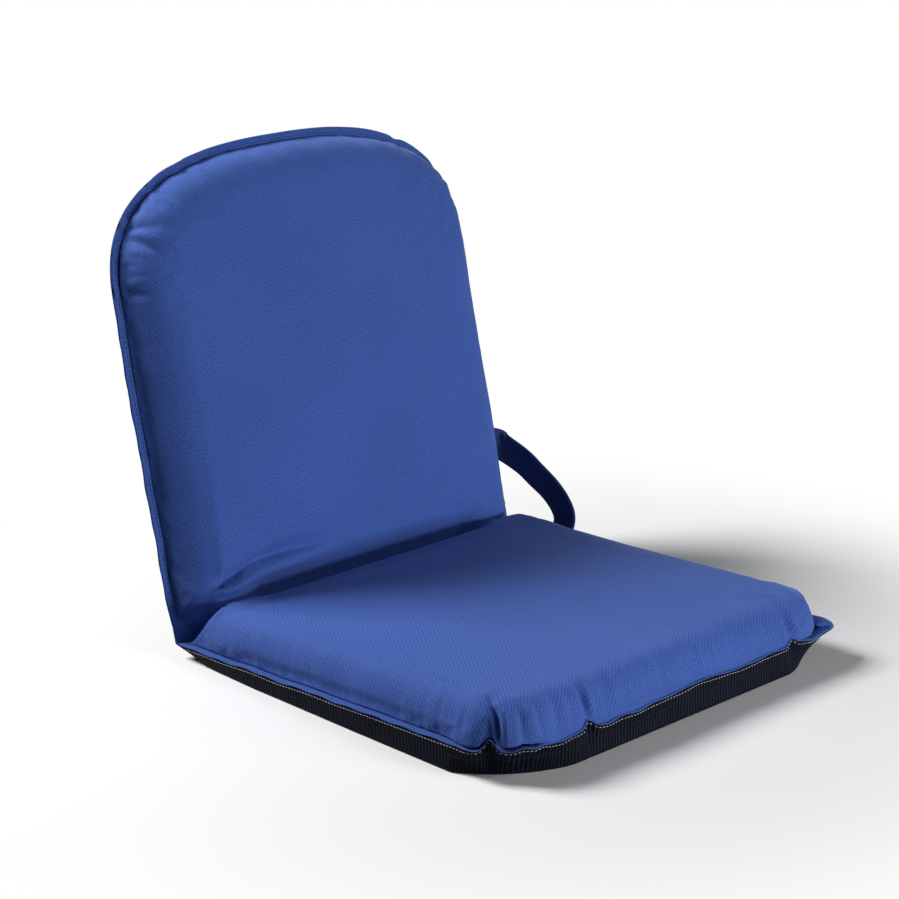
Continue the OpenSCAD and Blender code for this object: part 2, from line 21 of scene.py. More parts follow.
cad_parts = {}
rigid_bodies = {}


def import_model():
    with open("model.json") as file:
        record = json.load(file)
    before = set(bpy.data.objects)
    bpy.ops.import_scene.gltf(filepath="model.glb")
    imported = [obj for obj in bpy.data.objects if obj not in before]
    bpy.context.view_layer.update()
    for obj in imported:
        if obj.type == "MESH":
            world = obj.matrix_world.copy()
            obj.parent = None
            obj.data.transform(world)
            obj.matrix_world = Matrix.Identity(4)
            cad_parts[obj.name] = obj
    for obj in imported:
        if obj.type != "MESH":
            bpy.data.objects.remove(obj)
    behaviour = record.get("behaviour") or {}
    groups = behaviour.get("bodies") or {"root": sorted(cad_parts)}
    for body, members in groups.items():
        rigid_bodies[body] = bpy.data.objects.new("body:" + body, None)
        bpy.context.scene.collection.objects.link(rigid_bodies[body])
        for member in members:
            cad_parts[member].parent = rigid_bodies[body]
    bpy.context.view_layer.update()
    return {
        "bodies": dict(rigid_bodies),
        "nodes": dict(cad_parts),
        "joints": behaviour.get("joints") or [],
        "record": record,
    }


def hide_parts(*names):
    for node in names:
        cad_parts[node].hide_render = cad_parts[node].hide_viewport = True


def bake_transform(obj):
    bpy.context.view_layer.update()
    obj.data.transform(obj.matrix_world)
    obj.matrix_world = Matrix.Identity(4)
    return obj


LOG = logging.getLogger("floor_chair")
MM = 0.001
CORNER = np.array([0.0, 201.877, 12.5])  # where the seam planes of both halves meet
SEAT_TILT = math.radians(2.0)  # how far the seat's seam plane rises to the front
REST_ANGLE = math.radians(101.6)  # between the two halves
ACROSS_BEND = Vector((0.0, 0.7965, 0.6046))  # from the seat's side of the crease to the back's
BACK_PANEL = 1.0  # where the back's panel lies on the cloth, in metres across, beside the seat's panel
PAST_CREASE = 400.0  # how far a half's side seams are taken to run on past the hinge corner


def smooth(t: np.ndarray) -> np.ndarray:
    """Smooth step of t, held between 0 and 1."""
    t = np.clip(t, 0.0, 1.0)
    return t * t * (3.0 - 2.0 * t)


def bulge(share: np.ndarray) -> np.ndarray:
    """Height of a rounded edge, from 0 at its foot to 1 at its top."""
    t = np.clip(share, 0.0, 1.0)
    return np.sqrt(1.0 - (1.0 - t) ** 2)


class Side(Enum):
    """Which half of the chair a thing belongs to."""

    SEAT = "seat"
    BACK = "back"


@dataclass(frozen=True)
class Pucker:
    """A gather where the stitching pulls the cloth: a fold that runs in from the seam.

    x and s give its place on the seam line, and in_x and in_s the way that the fold runs. The seam
    itself rises by lift and moves in by pull there. A ridge stands on each side of the groove, at
    ridge_at times the groove's width, and outside the seam the fold fades over a short way.
    """

    side: Side
    x: float
    s: float
    in_x: float
    in_s: float
    depth: float = 3.0
    width: float = 3.5
    reach: float = 30.0
    lift: float = 0.0
    pull: float = 0.0
    spread: float = 8.0
    outside: float = 7.0
    ridge: float = 0.3
    ridge_at: float = 2.6
    ridge_width: float = 1.6

    def way(self) -> tuple[float, float]:
        """The way that the fold runs, as a unit vector."""
        length = math.hypot(self.in_x, self.in_s)
        return self.in_x / length, self.in_s / length

    def fold(self, x: np.ndarray, s: np.ndarray) -> np.ndarray:
        """Strength of the fold's groove, with a ridge on each side of it.

        Args:
            x: Places across the half.
            s: Places along the half.

        Returns:
            1 in the groove at the seam, and below 0 on the ridges.
        """
        nx, ns = self.way()
        along = (x - self.x) * nx + (s - self.s) * ns
        inward = np.clip(along, 0, None) / self.reach
        across = np.abs((x - self.x) * ns - (s - self.s) * nx) / (1 + 0.5 * inward)
        groove = np.exp(-((across / self.width) ** 1.5))
        off_ridge = (across - self.ridge_at * self.width) / (self.ridge_width * self.width)
        fade = np.exp(-(inward ** 1.6)) * np.exp(-((np.clip(-along, 0, None) / self.outside) ** 2))
        return (groove - self.ridge * np.exp(-off_ridge ** 2)) * fade

    def near(self, x: np.ndarray, s: np.ndarray) -> np.ndarray:
        """How strongly a place on the seam moves with this gather."""
        return np.exp(-((x - self.x) ** 2 + (s - self.s) ** 2) / self.spread ** 2)


@dataclass(frozen=True)
class Half:
    """One half of the chair, with its plane, its outline and the shape of its pad.

    The seam allowance reaches to the outline, and the pad starts at the stitching, which is set in.
    """

    side: Side
    tilt: float
    length: float
    half_width: float = 210.0
    arch: float = 0.0
    arch_full: float = 2.6
    corner_left: float = 50.0
    corner_right: float = 9.0
    pad_corner: float = 44.0
    stitch: float = 8.0
    pad: float = 37.0
    edge: float = 27.0
    edge_left: float = 27.0
    crown: float = 4.0
    thinning: float = 0.0
    draw: float = 2.5
    ripple: float = 0.35

    @property
    def along(self) -> np.ndarray:
        """Direction from the hinge corner along this half."""
        return np.array([0.0, math.cos(self.tilt), math.sin(self.tilt)])

    @property
    def up(self) -> np.ndarray:
        """Direction from the seam plane towards the pad."""
        sign = 1.0 if self.side is Side.BACK else -1.0
        return sign * np.array([0.0, -math.sin(self.tilt), math.cos(self.tilt)])

    def place(self, x: np.ndarray, s: np.ndarray, z: np.ndarray) -> np.ndarray:
        """Turns places on the half into points in the chair's frame.

        Args:
            x: Places across the half.
            s: Places along the half.
            z: Heights over the seam plane.

        Returns:
            Rows of points, in millimetres.
        """
        x, s, z = np.broadcast_arrays(np.asarray(x, float), np.asarray(s, float), np.asarray(z, float))
        flat = CORNER + s[..., None] * self.along + z[..., None] * self.up
        flat[..., 0] += x
        return flat

    def edge_at(self, x: np.ndarray) -> np.ndarray:
        """Width in plan of the pad's rounded edge at x."""
        return self.edge + (self.edge_left - self.edge) * smooth((70.0 - x) / 140.0)

    def corner(self, inset: float, right: bool, pad: bool) -> float:
        """Radius of a front corner of the seat, for the pad or for the seam allowance."""
        radius = self.corner_left if not right else self.pad_corner if pad else self.corner_right
        return max(radius - inset, 2.0)

    def half_width_at(self, s: np.ndarray, inset: float, right: bool) -> np.ndarray:
        """Half width of the pad's outline on the seat.

        Args:
            s: Places along the seat.
            inset: How far the pad lies inside the seam's outer edge.
            right: Whether the right side is asked for, whose front corner has its own radius.

        Returns:
            The half width at each place.
        """
        r = self.corner(inset, right, True)
        over = np.clip(np.asarray(s, float) - (self.length - inset - r), 0.0, r)
        return self.half_width - inset - r + np.sqrt(r * r - over * over)

    def outline(self, inset: float, step: float = 4.0, pad: bool = False) -> np.ndarray:
        """Points of the outline from the right end of the hinge corner round to its left end.

        Args:
            inset: How far the line lies inside the seam's outer edge.
            step: Distance between points.
            pad: Whether the line is the pad's own, whose right front corner is rounder.

        Returns:
            Rows of x and s.
        """
        if self.side is Side.SEAT:
            pts: list[tuple[float, float]] = []
            for right in (True, False):
                r = self.corner(inset, right, pad)
                sign = 1.0 if right else -1.0
                arc = [(sign * (self.half_width - inset - r + r * math.cos(a)),
                        self.length - inset - r + r * math.sin(a))
                       for a in np.linspace(0.0, math.pi / 2, 14)]
                run = [(sign * (self.half_width - inset), 0.0), *arc]
                pts += run if right else run[::-1]
            dense = np.array(pts)
        else:
            a = np.linspace(0.0, math.pi, 241)
            c, d = np.cos(a), np.sin(a)
            x = (self.half_width - inset) * np.sign(c) * np.abs(c) ** (2 / self.arch_full)
            s = self.length - self.arch + (self.arch - inset) * np.abs(d) ** (2 / self.arch_full)
            dense = np.vstack([[self.half_width - inset, 0.0], np.c_[x, s], [inset - self.half_width, 0.0]])
        gaps = np.hypot(*np.diff(dense, axis=0).T)
        dist = np.concatenate([[0.0], np.cumsum(gaps)])
        count = max(8, int(round(dist[-1] / step)))
        t = np.linspace(0.0, dist[-1], count + 1)
        return np.c_[np.interp(t, dist, dense[:, 0]), np.interp(t, dist, dense[:, 1])]

    def edge_distance(self, x: np.ndarray, s: np.ndarray, inset: float) -> tuple[np.ndarray, ...]:
        """Where points lie against the outline set in by inset, which runs on past the crease.

        Args:
            x: Places across the half.
            s: Places along the half.
            inset: How far the line lies inside the seam's outer edge.

        Returns:
            The distance in from the line, the way in as two arrays, and the place along the line.
        """
        line = self.outline(inset, 3.0, True)
        line = np.vstack([[line[0, 0], -PAST_CREASE], line, [line[-1, 0], -PAST_CREASE]])
        best, run = np.full(x.shape, np.inf), 0.0
        gx, gs, place = np.zeros(x.shape), np.zeros(x.shape), np.zeros(x.shape)
        for a, b in zip(line[:-1], line[1:]):
            d = b - a
            length = float(np.hypot(*d))
            t = np.clip(((x - a[0]) * d[0] + (s - a[1]) * d[1]) / max(length * length, 1e-9), 0.0, 1.0)
            off_x, off_s = x - a[0] - t * d[0], s - a[1] - t * d[1]
            dist = np.hypot(off_x, off_s)
            closer = dist < best
            best = np.where(closer, dist, best)
            safe = np.maximum(dist, 1e-6)
            gx, gs = np.where(closer, off_x / safe, gx), np.where(closer, off_s / safe, gs)
            place = np.where(closer, run + t * length, place)
            run += length
        return best, gx, gs, place


SEAT = Half(Side.SEAT, math.pi - SEAT_TILT, 404.0, stitch=2.2, edge_left=19.0)
BACK = Half(Side.BACK, math.pi - SEAT_TILT - REST_ANGLE, 427.0, arch=128.0, edge=31.0, edge_left=31.0,
            thinning=5.0, ripple=0.4)

# Each row: x, s, in_x, in_s, depth, width, reach, lift, pull, spread
SEAT_GATHERS: tuple[tuple[float, ...], ...] = (
    (-196.0, 387.0, 0.46, -0.9, 7.5, 1.9, 15.0, 0.0, 2.0, 5.0),
    (-201.0, 380.0, 0.75, -0.65, 2.0, 3.0, 12.0, 9.0, 5.0, 6.0),
    (-207.0, 360.0, 0.9, -0.3, -1.5, 8.0, 22.0, -1.5, 0.0, 10.0),
    (-180.0, 398.0, 0.4, -0.9, 2.5, 2.6, 15.0, 1.0, 1.0, 5.0),
    (-163.0, 403.0, 0.15, -1.0, 2.5, 2.6, 16.0, 1.5, 0.0, 5.0),
    (-143.0, 404.0, 0.1, -1.0, 2.0, 3.5, 14.0, -1.5, 0.0, 9.0),
    (-109.0, 404.0, -0.2, -1.0, 5.5, 1.9, 11.0, 6.0, 3.0, 6.0),
    (-88.0, 404.0, 0.3, -1.0, 2.2, 4.0, 18.0, -1.0, -2.0, 12.0),
    (-58.0, 404.0, 0.1, -1.0, 1.2, 5.0, 14.0, -1.0, -2.5, 16.0),
    (24.0, 404.0, 0.0, -1.0, 1.2, 7.0, 18.0, 1.6, 1.0, 16.0),
    (78.0, 404.0, 0.1, -1.0, 1.0, 6.0, 16.0, -0.6, 0.0, 14.0),
    (149.0, 404.0, -0.25, -1.0, 5.5, 2.4, 13.0, 5.5, 2.0, 6.0),
    (176.0, 404.0, -0.2, -1.0, 1.5, 5.0, 16.0, -2.0, 0.0, 11.0),
    (208.0, 392.0, -0.7, -0.7, 1.5, 5.0, 20.0, 2.5, -1.0, 12.0),
    (206.0, 366.0, -1.0, -0.1, 2.0, 4.0, 16.0, 1.0, 0.0, 14.0),
    (-210.0, 210.0, 1.0, 0.0, 0.8, 9.0, 14.0, 0.0, 0.0, 14.0),
)
BACK_GATHERS: tuple[tuple[float, ...], ...] = (
    (-117.0, 418.0, 0.32, -1.0, 5.0, 2.6, 14.0, 0.0, 1.5, 5.0),
    (-154.0, 402.0, 0.5, -0.85, 5.5, 2.8, 13.0, 0.0, 2.0, 5.0),
    (-165.0, 394.0, 0.7, -0.7, 1.8, 4.0, 20.0, 0.0, 0.0, 5.0),
    (-193.0, 369.0, 0.85, -0.15, 5.5, 2.8, 18.0, 0.0, 2.5, 5.0),
    (-195.0, 366.0, 0.62, -0.85, 5.0, 3.2, 26.0, 0.0, 0.0, 5.0),
    (-209.0, 313.0, 0.9, -0.4, 4.5, 2.6, 12.0, 0.0, 2.0, 5.0),
    (-211.0, 262.0, 1.0, 0.0, 1.2, 6.0, 14.0, 0.0, 0.0, 8.0),
    (-40.0, 427.0, 0.1, -1.0, 1.4, 5.0, 16.0, 0.0, 0.0, 8.0),
    (30.0, 427.0, 0.0, -1.0, 1.6, 4.5, 16.0, 0.0, 0.0, 8.0),
    (88.0, 424.0, -0.1, -1.0, 1.6, 4.0, 14.0, 0.0, 0.0, 8.0),
    (146.0, 404.0, -0.5, -0.85, 4.0, 2.8, 12.0, 0.0, 2.0, 5.0),
    (190.0, 370.0, -0.8, -0.6, 4.0, 3.0, 14.0, 0.0, 2.0, 6.0),
    (200.0, 346.0, -1.0, -0.4, 3.0, 3.0, 12.0, 0.0, 1.0, 6.0),
)
PUCKERS: dict[Side, tuple[Pucker, ...]] = {
    Side.SEAT: tuple(Pucker(Side.SEAT, *row) for row in SEAT_GATHERS),
    Side.BACK: tuple(Pucker(Side.BACK, *row) for row in BACK_GATHERS),
}


def seam_shift(half: Half, x: np.ndarray, s: np.ndarray) -> tuple[np.ndarray, np.ndarray, np.ndarray]:
    """How the gathers and the cloth's own waviness move the seam.

    Args:
        half: The half that the places belong to.
        x: Places across the half.
        s: Places along the half.

    Returns:
        The moves across, along and up, in millimetres.
    """
    dx, ds, dz = (np.zeros(np.broadcast(x, s).shape) for _ in range(3))
    for p in PUCKERS[half.side]:
        near, (nx, ns) = p.near(x, s), p.way()
        dx, ds, dz = dx + p.pull * near * nx, ds + p.pull * near * ns, dz + p.lift * near
    wave = np.sin(x / 17.0 + s / 13.0) + 0.7 * np.sin(x / 9.3 - s / 11.0 + 1.3)
    dz = dz + half.ripple * wave * smooth((s - 20.0) / 60.0)
    if half is BACK:
        # the left seam bows in over the lower part of the back
        dx = dx - 2.4 * smooth((s - 5.0) / 30.0) * (1 - smooth((s - 230.0) / 90.0)) * (x < 0)
    else:
        # the seam allowance turns up beside the right front corner
        flap = np.exp(-((s - 376.0) / 18.0) ** 2) * smooth((x - 170.0) / 30.0)
        dz, dx = dz + 6.0 * flap, dx - 3.0 * flap
    return dx, ds, dz


def mesh_object(name: str, bm: bmesh.types.BMesh, shade_smooth: bool = True) -> bpy.types.Object:
    """Makes an object at the origin from a bmesh, which is freed.

    Args:
        name: The object's name.
        bm: The mesh, in metres.
        shade_smooth: Whether its faces are shaded smooth.

    Returns:
        The object, linked to the scene.
    """
    mesh = bpy.data.meshes.new(name)
    bm.to_mesh(mesh)
    bm.free()
    for poly in mesh.polygons:
        poly.use_smooth = shade_smooth
    obj = bpy.data.objects.new(name, mesh)
    bpy.context.scene.collection.objects.link(obj)
    return obj


def apply_modifier(obj: bpy.types.Object, kind: str, **settings: object) -> None:
    """Adds a modifier and applies it to the object's mesh.

    Args:
        obj: The object.
        kind: The modifier's type.
        settings: Values of the modifier's properties.
    """
    mod = obj.modifiers.new(kind.title(), kind)
    for key, value in settings.items():
        setattr(mod, key, value)
    with bpy.context.temp_override(object=obj, active_object=obj, selected_objects=[obj]):
        bpy.ops.object.modifier_apply(modifier=mod.name)


# ---- finishes


@dataclass
class NodeBuilder:
    """Short ways to add shader nodes to a tree."""

    tree: bpy.types.NodeTree

    def add(self, kind: str, **values: object) -> bpy.types.Node:
        """Adds a node.

        Args:
            kind: The node's type.
            values: Its properties and, for names that start with a capital, its inputs' values.

        Returns:
            The node.
        """
        node = self.tree.nodes.new(kind)
        for key, value in values.items():
            if key[0].isupper():
                node.inputs[key.replace("_", " ")].default_value = value
            else:
                setattr(node, key, value)
        return node

    def link(self, a: bpy.types.NodeSocket, b: bpy.types.NodeSocket) -> None:
        """Links one socket to another."""
        self.tree.links.new(a, b)

    def math(self, operation: str, *inputs: object) -> bpy.types.NodeSocket:
        """Adds a Math node.

        Args:
            operation: The node's operation.
            inputs: Its inputs, each a socket or a number.

        Returns:
            The node's output.
        """
        node = self.add("ShaderNodeMath", operation=operation)
        for i, value in enumerate(inputs):
            if isinstance(value, (int, float)):
                node.inputs[i].default_value = value
            else:
                self.link(value, node.inputs[i])
        return node.outputs[0]

    def wave(self, along: bpy.types.NodeSocket, pitch: bpy.types.NodeSocket | float) -> bpy.types.NodeSocket:
        """A sine wave of the given pitch along a coordinate."""
        return self.math("SINE", self.math("MULTIPLY", self.math("DIVIDE", along, pitch), 2 * math.pi))


def weave_group() -> bpy.types.NodeTree:
    """The twill effect: diagonal ribs crossed by yarns, and a slow unevenness of the cloth.

    Returns:
        A group with the inputs Vector, Pitch, Angle, Yarn and Ribs, and the outputs Height, Tone and Cloud.
    """
    found = bpy.data.node_groups.get("twill_weave")
    if found:
        return found
    g = bpy.data.node_groups.new("twill_weave", "ShaderNodeTree")
    g.interface.new_socket("Vector", in_out="INPUT", socket_type="NodeSocketVector")
    for name, value in (("Pitch", 0.0032), ("Angle", 0.75), ("Yarn", 0.0009), ("Ribs", 1.0)):
        g.interface.new_socket(name, in_out="INPUT", socket_type="NodeSocketFloat").default_value = value
    for name in ("Height", "Tone", "Cloud"):
        g.interface.new_socket(name, in_out="OUTPUT", socket_type="NodeSocketFloat")
    b = NodeBuilder(g)
    src, out = b.add("NodeGroupInput"), b.add("NodeGroupOutput")
    split = b.add("ShaderNodeSeparateXYZ")
    b.link(src.outputs["Vector"], split.inputs[0])
    cosine, sine = b.math("COSINE", src.outputs["Angle"]), b.math("SINE", src.outputs["Angle"])
    across = b.math("ADD", b.math("MULTIPLY", split.outputs[0], cosine),
                    b.math("MULTIPLY", split.outputs[1], sine))
    wobble = b.add("ShaderNodeTexNoise", Scale=60.0, Detail=2.0)
    b.link(src.outputs["Vector"], wobble.inputs["Vector"])
    across = b.math("ADD", across, b.math("MULTIPLY", b.math("SUBTRACT", wobble.outputs["Fac"], 0.5), 0.0016))
    rib = b.wave(across, src.outputs["Pitch"])
    yarn = b.math("MULTIPLY", b.wave(split.outputs[0], src.outputs["Yarn"]),
                  b.wave(split.outputs[1], src.outputs["Yarn"]))
    grain = b.add("ShaderNodeTexNoise", Scale=620.0, Detail=1.0, Roughness=0.6)
    b.link(src.outputs["Vector"], grain.inputs["Vector"])
    height = b.math("ADD", b.math("MULTIPLY", rib, b.math("MULTIPLY", src.outputs["Ribs"], 0.35)),
                    b.math("MULTIPLY", yarn, 0.3))
    height = b.math("ADD", height, b.math("MULTIPLY", grain.outputs["Fac"], 0.8))
    b.link(height, out.inputs["Height"])
    ribbed = b.math("MULTIPLY", rib, b.math("MULTIPLY", src.outputs["Ribs"], 0.2))
    grained = b.math("MULTIPLY", b.math("SUBTRACT", grain.outputs["Fac"], 0.5), 1.5)
    b.link(b.math("ADD", b.math("ADD", ribbed, grained), 0.5), out.inputs["Tone"])
    cloud = b.add("ShaderNodeTexNoise", Scale=9.0, Detail=4.0, Roughness=0.55)
    b.link(src.outputs["Vector"], cloud.inputs["Vector"])
    b.link(cloud.outputs["Fac"], out.inputs["Cloud"])
    return g


@dataclass(frozen=True)
class Finish:
    """A material's name, its record slot and its plain settings."""

    name: str
    slot: str
    color: tuple[float, float, float]
    roughness: float = 0.7
    metallic: float = 0.0
    specular: float = 0.5
    sheen: float = 0.0
    sheen_tint: tuple[float, float, float] = (1.0, 1.0, 1.0)

    def start(self) -> tuple[bpy.types.Material, NodeBuilder, bpy.types.Node]:
        """Starts a material with this finish's plain settings.

        Returns:
            The material, a builder on its tree, and its shader.
        """
        mat = bpy.data.materials.new(self.name)
        mat.use_nodes = True
        tree = mat.node_tree
        tree.nodes.clear()
        b = NodeBuilder(tree)
        shader = b.add("ShaderNodeBsdfPrincipled")
        shader.inputs["Base Color"].default_value = (*self.color, 1.0)
        shader.inputs["Roughness"].default_value = self.roughness
        shader.inputs["Metallic"].default_value = self.metallic
        shader.inputs["Specular IOR Level"].default_value = self.specular
        shader.inputs["Sheen Weight"].default_value = self.sheen
        shader.inputs["Sheen Tint"].default_value = (*self.sheen_tint, 1.0)
        out = b.add("ShaderNodeOutputMaterial")
        b.link(shader.outputs[0], out.inputs[0])
        return mat, b, shader

    def build(self) -> bpy.types.Material:
        """Makes the plain material, with a fine grain in its colour and roughness.

        Returns:
            The material.
        """
        mat, b, shader = self.start()
        coord = b.add("ShaderNodeTexCoord")
        noise = b.add("ShaderNodeTexNoise", Scale=400.0, Detail=4.0)
        b.link(coord.outputs["Object"], noise.inputs["Vector"])
        grain = noise.outputs["Fac"]
        self.shade(b, shader, grain, 0.25)
        self.roughen(b, shader, grain, 0.15)
        self.emboss(b, shader, grain, 0.15, 0.0004)
        return mat

    def shade(self, b: NodeBuilder, shader: bpy.types.Node, mask: bpy.types.NodeSocket,
              spread: float) -> None:
        """Varies the base colour round its value.

        Args:
            b: The builder on the material's tree.
            shader: The material's shader.
            mask: A value from 0 to 1 over the surface.
            spread: Share by which the colour goes down and up.
        """
        low = tuple(c * (1 - spread) for c in self.color)
        high = tuple(min(1.0, c * (1 + spread)) for c in self.color)
        self.between(b, shader, mask, low, high)

    @staticmethod
    def between(b: NodeBuilder, shader: bpy.types.Node, mask: bpy.types.NodeSocket,
                low: Sequence[float], high: Sequence[float]) -> None:
        """Colours the surface between two colours.

        Args:
            b: The builder on the material's tree.
            shader: The material's shader.
            mask: A value from 0 to 1 over the surface.
            low: The colour where the mask is 0.
            high: The colour where the mask is 1.
        """
        mix = b.add("ShaderNodeMix", data_type="RGBA")
        b.link(mask, mix.inputs[0])
        mix.inputs[6].default_value = (*low, 1.0)
        mix.inputs[7].default_value = (*high, 1.0)
        b.link(mix.outputs[2], shader.inputs["Base Color"])

    def roughen(self, b: NodeBuilder, shader: bpy.types.Node, mask: bpy.types.NodeSocket,
                spread: float) -> None:
        """Varies the roughness round its value.

        Args:
            b: The builder on the material's tree.
            shader: The material's shader.
            mask: A value from 0 to 1 over the surface.
            spread: Share by which the roughness goes down and up.
        """
        rough = b.add("ShaderNodeMapRange", To_Min=self.roughness * (1 - spread),
                      To_Max=min(1.0, self.roughness * (1 + spread)))
        b.link(mask, rough.inputs["Value"])
        b.link(rough.outputs[0], shader.inputs["Roughness"])

    @staticmethod
    def emboss(b: NodeBuilder, shader: bpy.types.Node, height: bpy.types.NodeSocket,
               strength: float, distance: float) -> None:
        """Gives the surface a fine relief.

        Args:
            b: The builder on the material's tree.
            shader: The material's shader.
            height: The relief's height over the surface.
            strength: The bump's strength.
            distance: The bump's distance, in metres.
        """
        bump = b.add("ShaderNodeBump", Strength=strength, Distance=distance)
        b.link(height, bump.inputs["Height"])
        b.link(bump.outputs[0], shader.inputs["Normal"])


@dataclass(frozen=True)
class TwillFinish(Finish):
    """Woven cloth with diagonal ribs."""

    pitch: float = 0.0032
    angle: float = 0.75
    relief: float = 0.4
    spread: float = 0.42
    back_ribs: float = 0.35

    def build(self) -> bpy.types.Material:
        """Makes the woven material, on the piece's own UV map in metres.

        Returns:
            The material.
        """
        mat, b, shader = self.start()
        coord = b.add("ShaderNodeTexCoord")
        weave = b.add("ShaderNodeGroup")
        weave.node_tree = weave_group()
        weave.inputs["Pitch"].default_value = self.pitch
        weave.inputs["Angle"].default_value = self.angle
        b.link(coord.outputs["UV"], weave.inputs["Vector"])
        split = b.add("ShaderNodeSeparateXYZ")
        b.link(coord.outputs["UV"], split.inputs[0])
        on_back = b.math("GREATER_THAN", split.outputs[0], BACK_PANEL / 2)
        flatter = b.math("MULTIPLY", on_back, 1 - self.back_ribs)
        b.link(b.math("SUBTRACT", 1.0, flatter), weave.inputs["Ribs"])
        cloud = b.math("MULTIPLY", b.math("SUBTRACT", weave.outputs["Cloud"], 0.5), 0.35)
        self.shade(b, shader, b.math("ADD", weave.outputs["Tone"], cloud), self.spread)
        self.emboss(b, shader, weave.outputs["Height"], self.relief, 0.0004)
        return mat


@dataclass(frozen=True)
class RibbedFinish(Finish):
    """Coated black cloth with fine upright ribs, whose crests carry a painted highlight: a lighter colour
    where light would catch them.
    """

    pitch: float = 0.0036
    cross_pitch: float = 0.0011
    wobble: float = 0.004
    # painted highlight: the lighter colour that the rib crests are given
    painted_rib_highlight: tuple[float, float, float] = (0.025, 0.035, 0.065)

    def build(self) -> bpy.types.Material:
        """Makes the ribbed material, on the piece's own UV map in metres.

        Returns:
            The material.
        """
        mat, b, shader = self.start()
        coord = b.add("ShaderNodeTexCoord")
        split = b.add("ShaderNodeSeparateXYZ")
        b.link(coord.outputs["UV"], split.inputs[0])
        noise = b.add("ShaderNodeTexNoise", Scale=45.0, Detail=3.0)
        b.link(coord.outputs["UV"], noise.inputs["Vector"])
        shift = b.math("MULTIPLY", b.math("SUBTRACT", noise.outputs["Fac"], 0.5), self.wobble)
        rib = b.wave(b.math("ADD", split.outputs[0], shift), self.pitch)
        rib = b.math("ADD", b.math("MULTIPLY", rib, 0.5), 0.5)
        # painted highlight mask: the colour turns to the lighter one along the rib crests, broken up by noise
        painted_highlight_mask = b.math("MULTIPLY", b.math("POWER", rib, 4.0), noise.outputs["Fac"])
        self.between(b, shader, painted_highlight_mask, self.color, self.painted_rib_highlight)
        cross = b.wave(split.outputs[1], self.cross_pitch)
        self.emboss(b, shader, b.math("ADD", rib, b.math("MULTIPLY", cross, 0.12)), 0.5, 0.0006)
        return mat


@dataclass(frozen=True)
class FoamFinish(Finish):
    """Open-cell foam."""

    def build(self) -> bpy.types.Material:
        """Makes the foam, pitted by its cells.

        Returns:
            The material.
        """
        mat, b, shader = self.start()
        coord = b.add("ShaderNodeTexCoord")
        cells = b.add("ShaderNodeTexVoronoi", Scale=700.0)
        b.link(coord.outputs["Object"], cells.inputs["Vector"])
        self.shade(b, shader, cells.outputs["Distance"], 0.12)
        self.emboss(b, shader, cells.outputs["Distance"], 0.6, 0.0006)
        return mat


@dataclass(frozen=True)
class PlateFinish(Finish):
    """Plated steel with fine rolling marks and a duller film on it."""

    def build(self) -> bpy.types.Material:
        """Makes the plated metal, on Object coordinates.

        Returns:
            The material.
        """
        mat, b, shader = self.start()
        coord = b.add("ShaderNodeTexCoord")
        mapping = b.add("ShaderNodeMapping")
        mapping.inputs["Scale"].default_value = (60.0, 900.0, 60.0)
        b.link(coord.outputs["Object"], mapping.inputs["Vector"])
        marks = b.add("ShaderNodeTexNoise", Scale=3.0, Detail=6.0)
        b.link(mapping.outputs[0], marks.inputs["Vector"])
        self.shade(b, shader, marks.outputs["Fac"], 0.2)
        self.roughen(b, shader, marks.outputs["Fac"], 0.3)
        return mat


BLUE = TwillFinish("blue_twill", "blue_twill", (0.05, 0.112, 0.42), 0.72, specular=0.14, sheen=0.14,
                   sheen_tint=(0.62, 0.78, 1.0), angle=-0.64)
BLUE_SEAM = TwillFinish("blue_seam", "blue_twill", (0.042, 0.098, 0.37), 0.75, specular=0.14, sheen=0.12,
                        sheen_tint=(0.62, 0.78, 1.0), pitch=0.0022)
BLACK = RibbedFinish("black_coated_cloth", "black_coated_cloth", (0.0015, 0.002, 0.005), 0.6, specular=0.05)
STRAP = TwillFinish("strap_cloth", "strap_cloth", (0.02, 0.042, 0.15), 0.75, specular=0.14, sheen=0.12,
                    sheen_tint=(0.6, 0.7, 1.0), pitch=0.0018)
THREAD_WHITE = Finish("white_thread", "blue_twill", (0.72, 0.74, 0.78), 0.7)
THREAD_DARK = Finish("dark_thread", "blue_twill", (0.006, 0.009, 0.03), 0.8)
FOAM = FoamFinish("foam", "foam", (0.78, 0.73, 0.55), 0.95, specular=0.2)
TUBE = Finish("frame_tube", "frame_tube", (0.03, 0.03, 0.034), 0.45)
PLATE = PlateFinish("hinge_plate", "hinge_plate", (0.45, 0.46, 0.48), 0.38, metallic=1.0)
RIVET = PlateFinish("rivet_steel", "rivet_steel", (0.55, 0.56, 0.58), 0.3, metallic=1.0)
SPRING = PlateFinish("spring_steel", "spring_steel", (0.3, 0.31, 0.34), 0.3, metallic=1.0)


class Wardrobe:
    """Materials, each built once."""

    def __init__(self) -> None:
        """Starts with no material built."""
        self._made: dict[str, bpy.types.Material] = {}

    def get(self, finish: Finish) -> bpy.types.Material:
        """Finds or makes the material of a finish.

        Args:
            finish: The finish.

        Returns:
            Its material.
        """
        if finish.name not in self._made:
            self._made[finish.name] = finish.build()
        return self._made[finish.name]

    def dress(self, obj: bpy.types.Object, finish: Finish) -> None:
        """Gives a soft piece one finish.

        Args:
            obj: The piece.
            finish: Its finish.
        """
        obj.data.materials.clear()
        obj.data.materials.append(self.get(finish))


# ---- padded cover


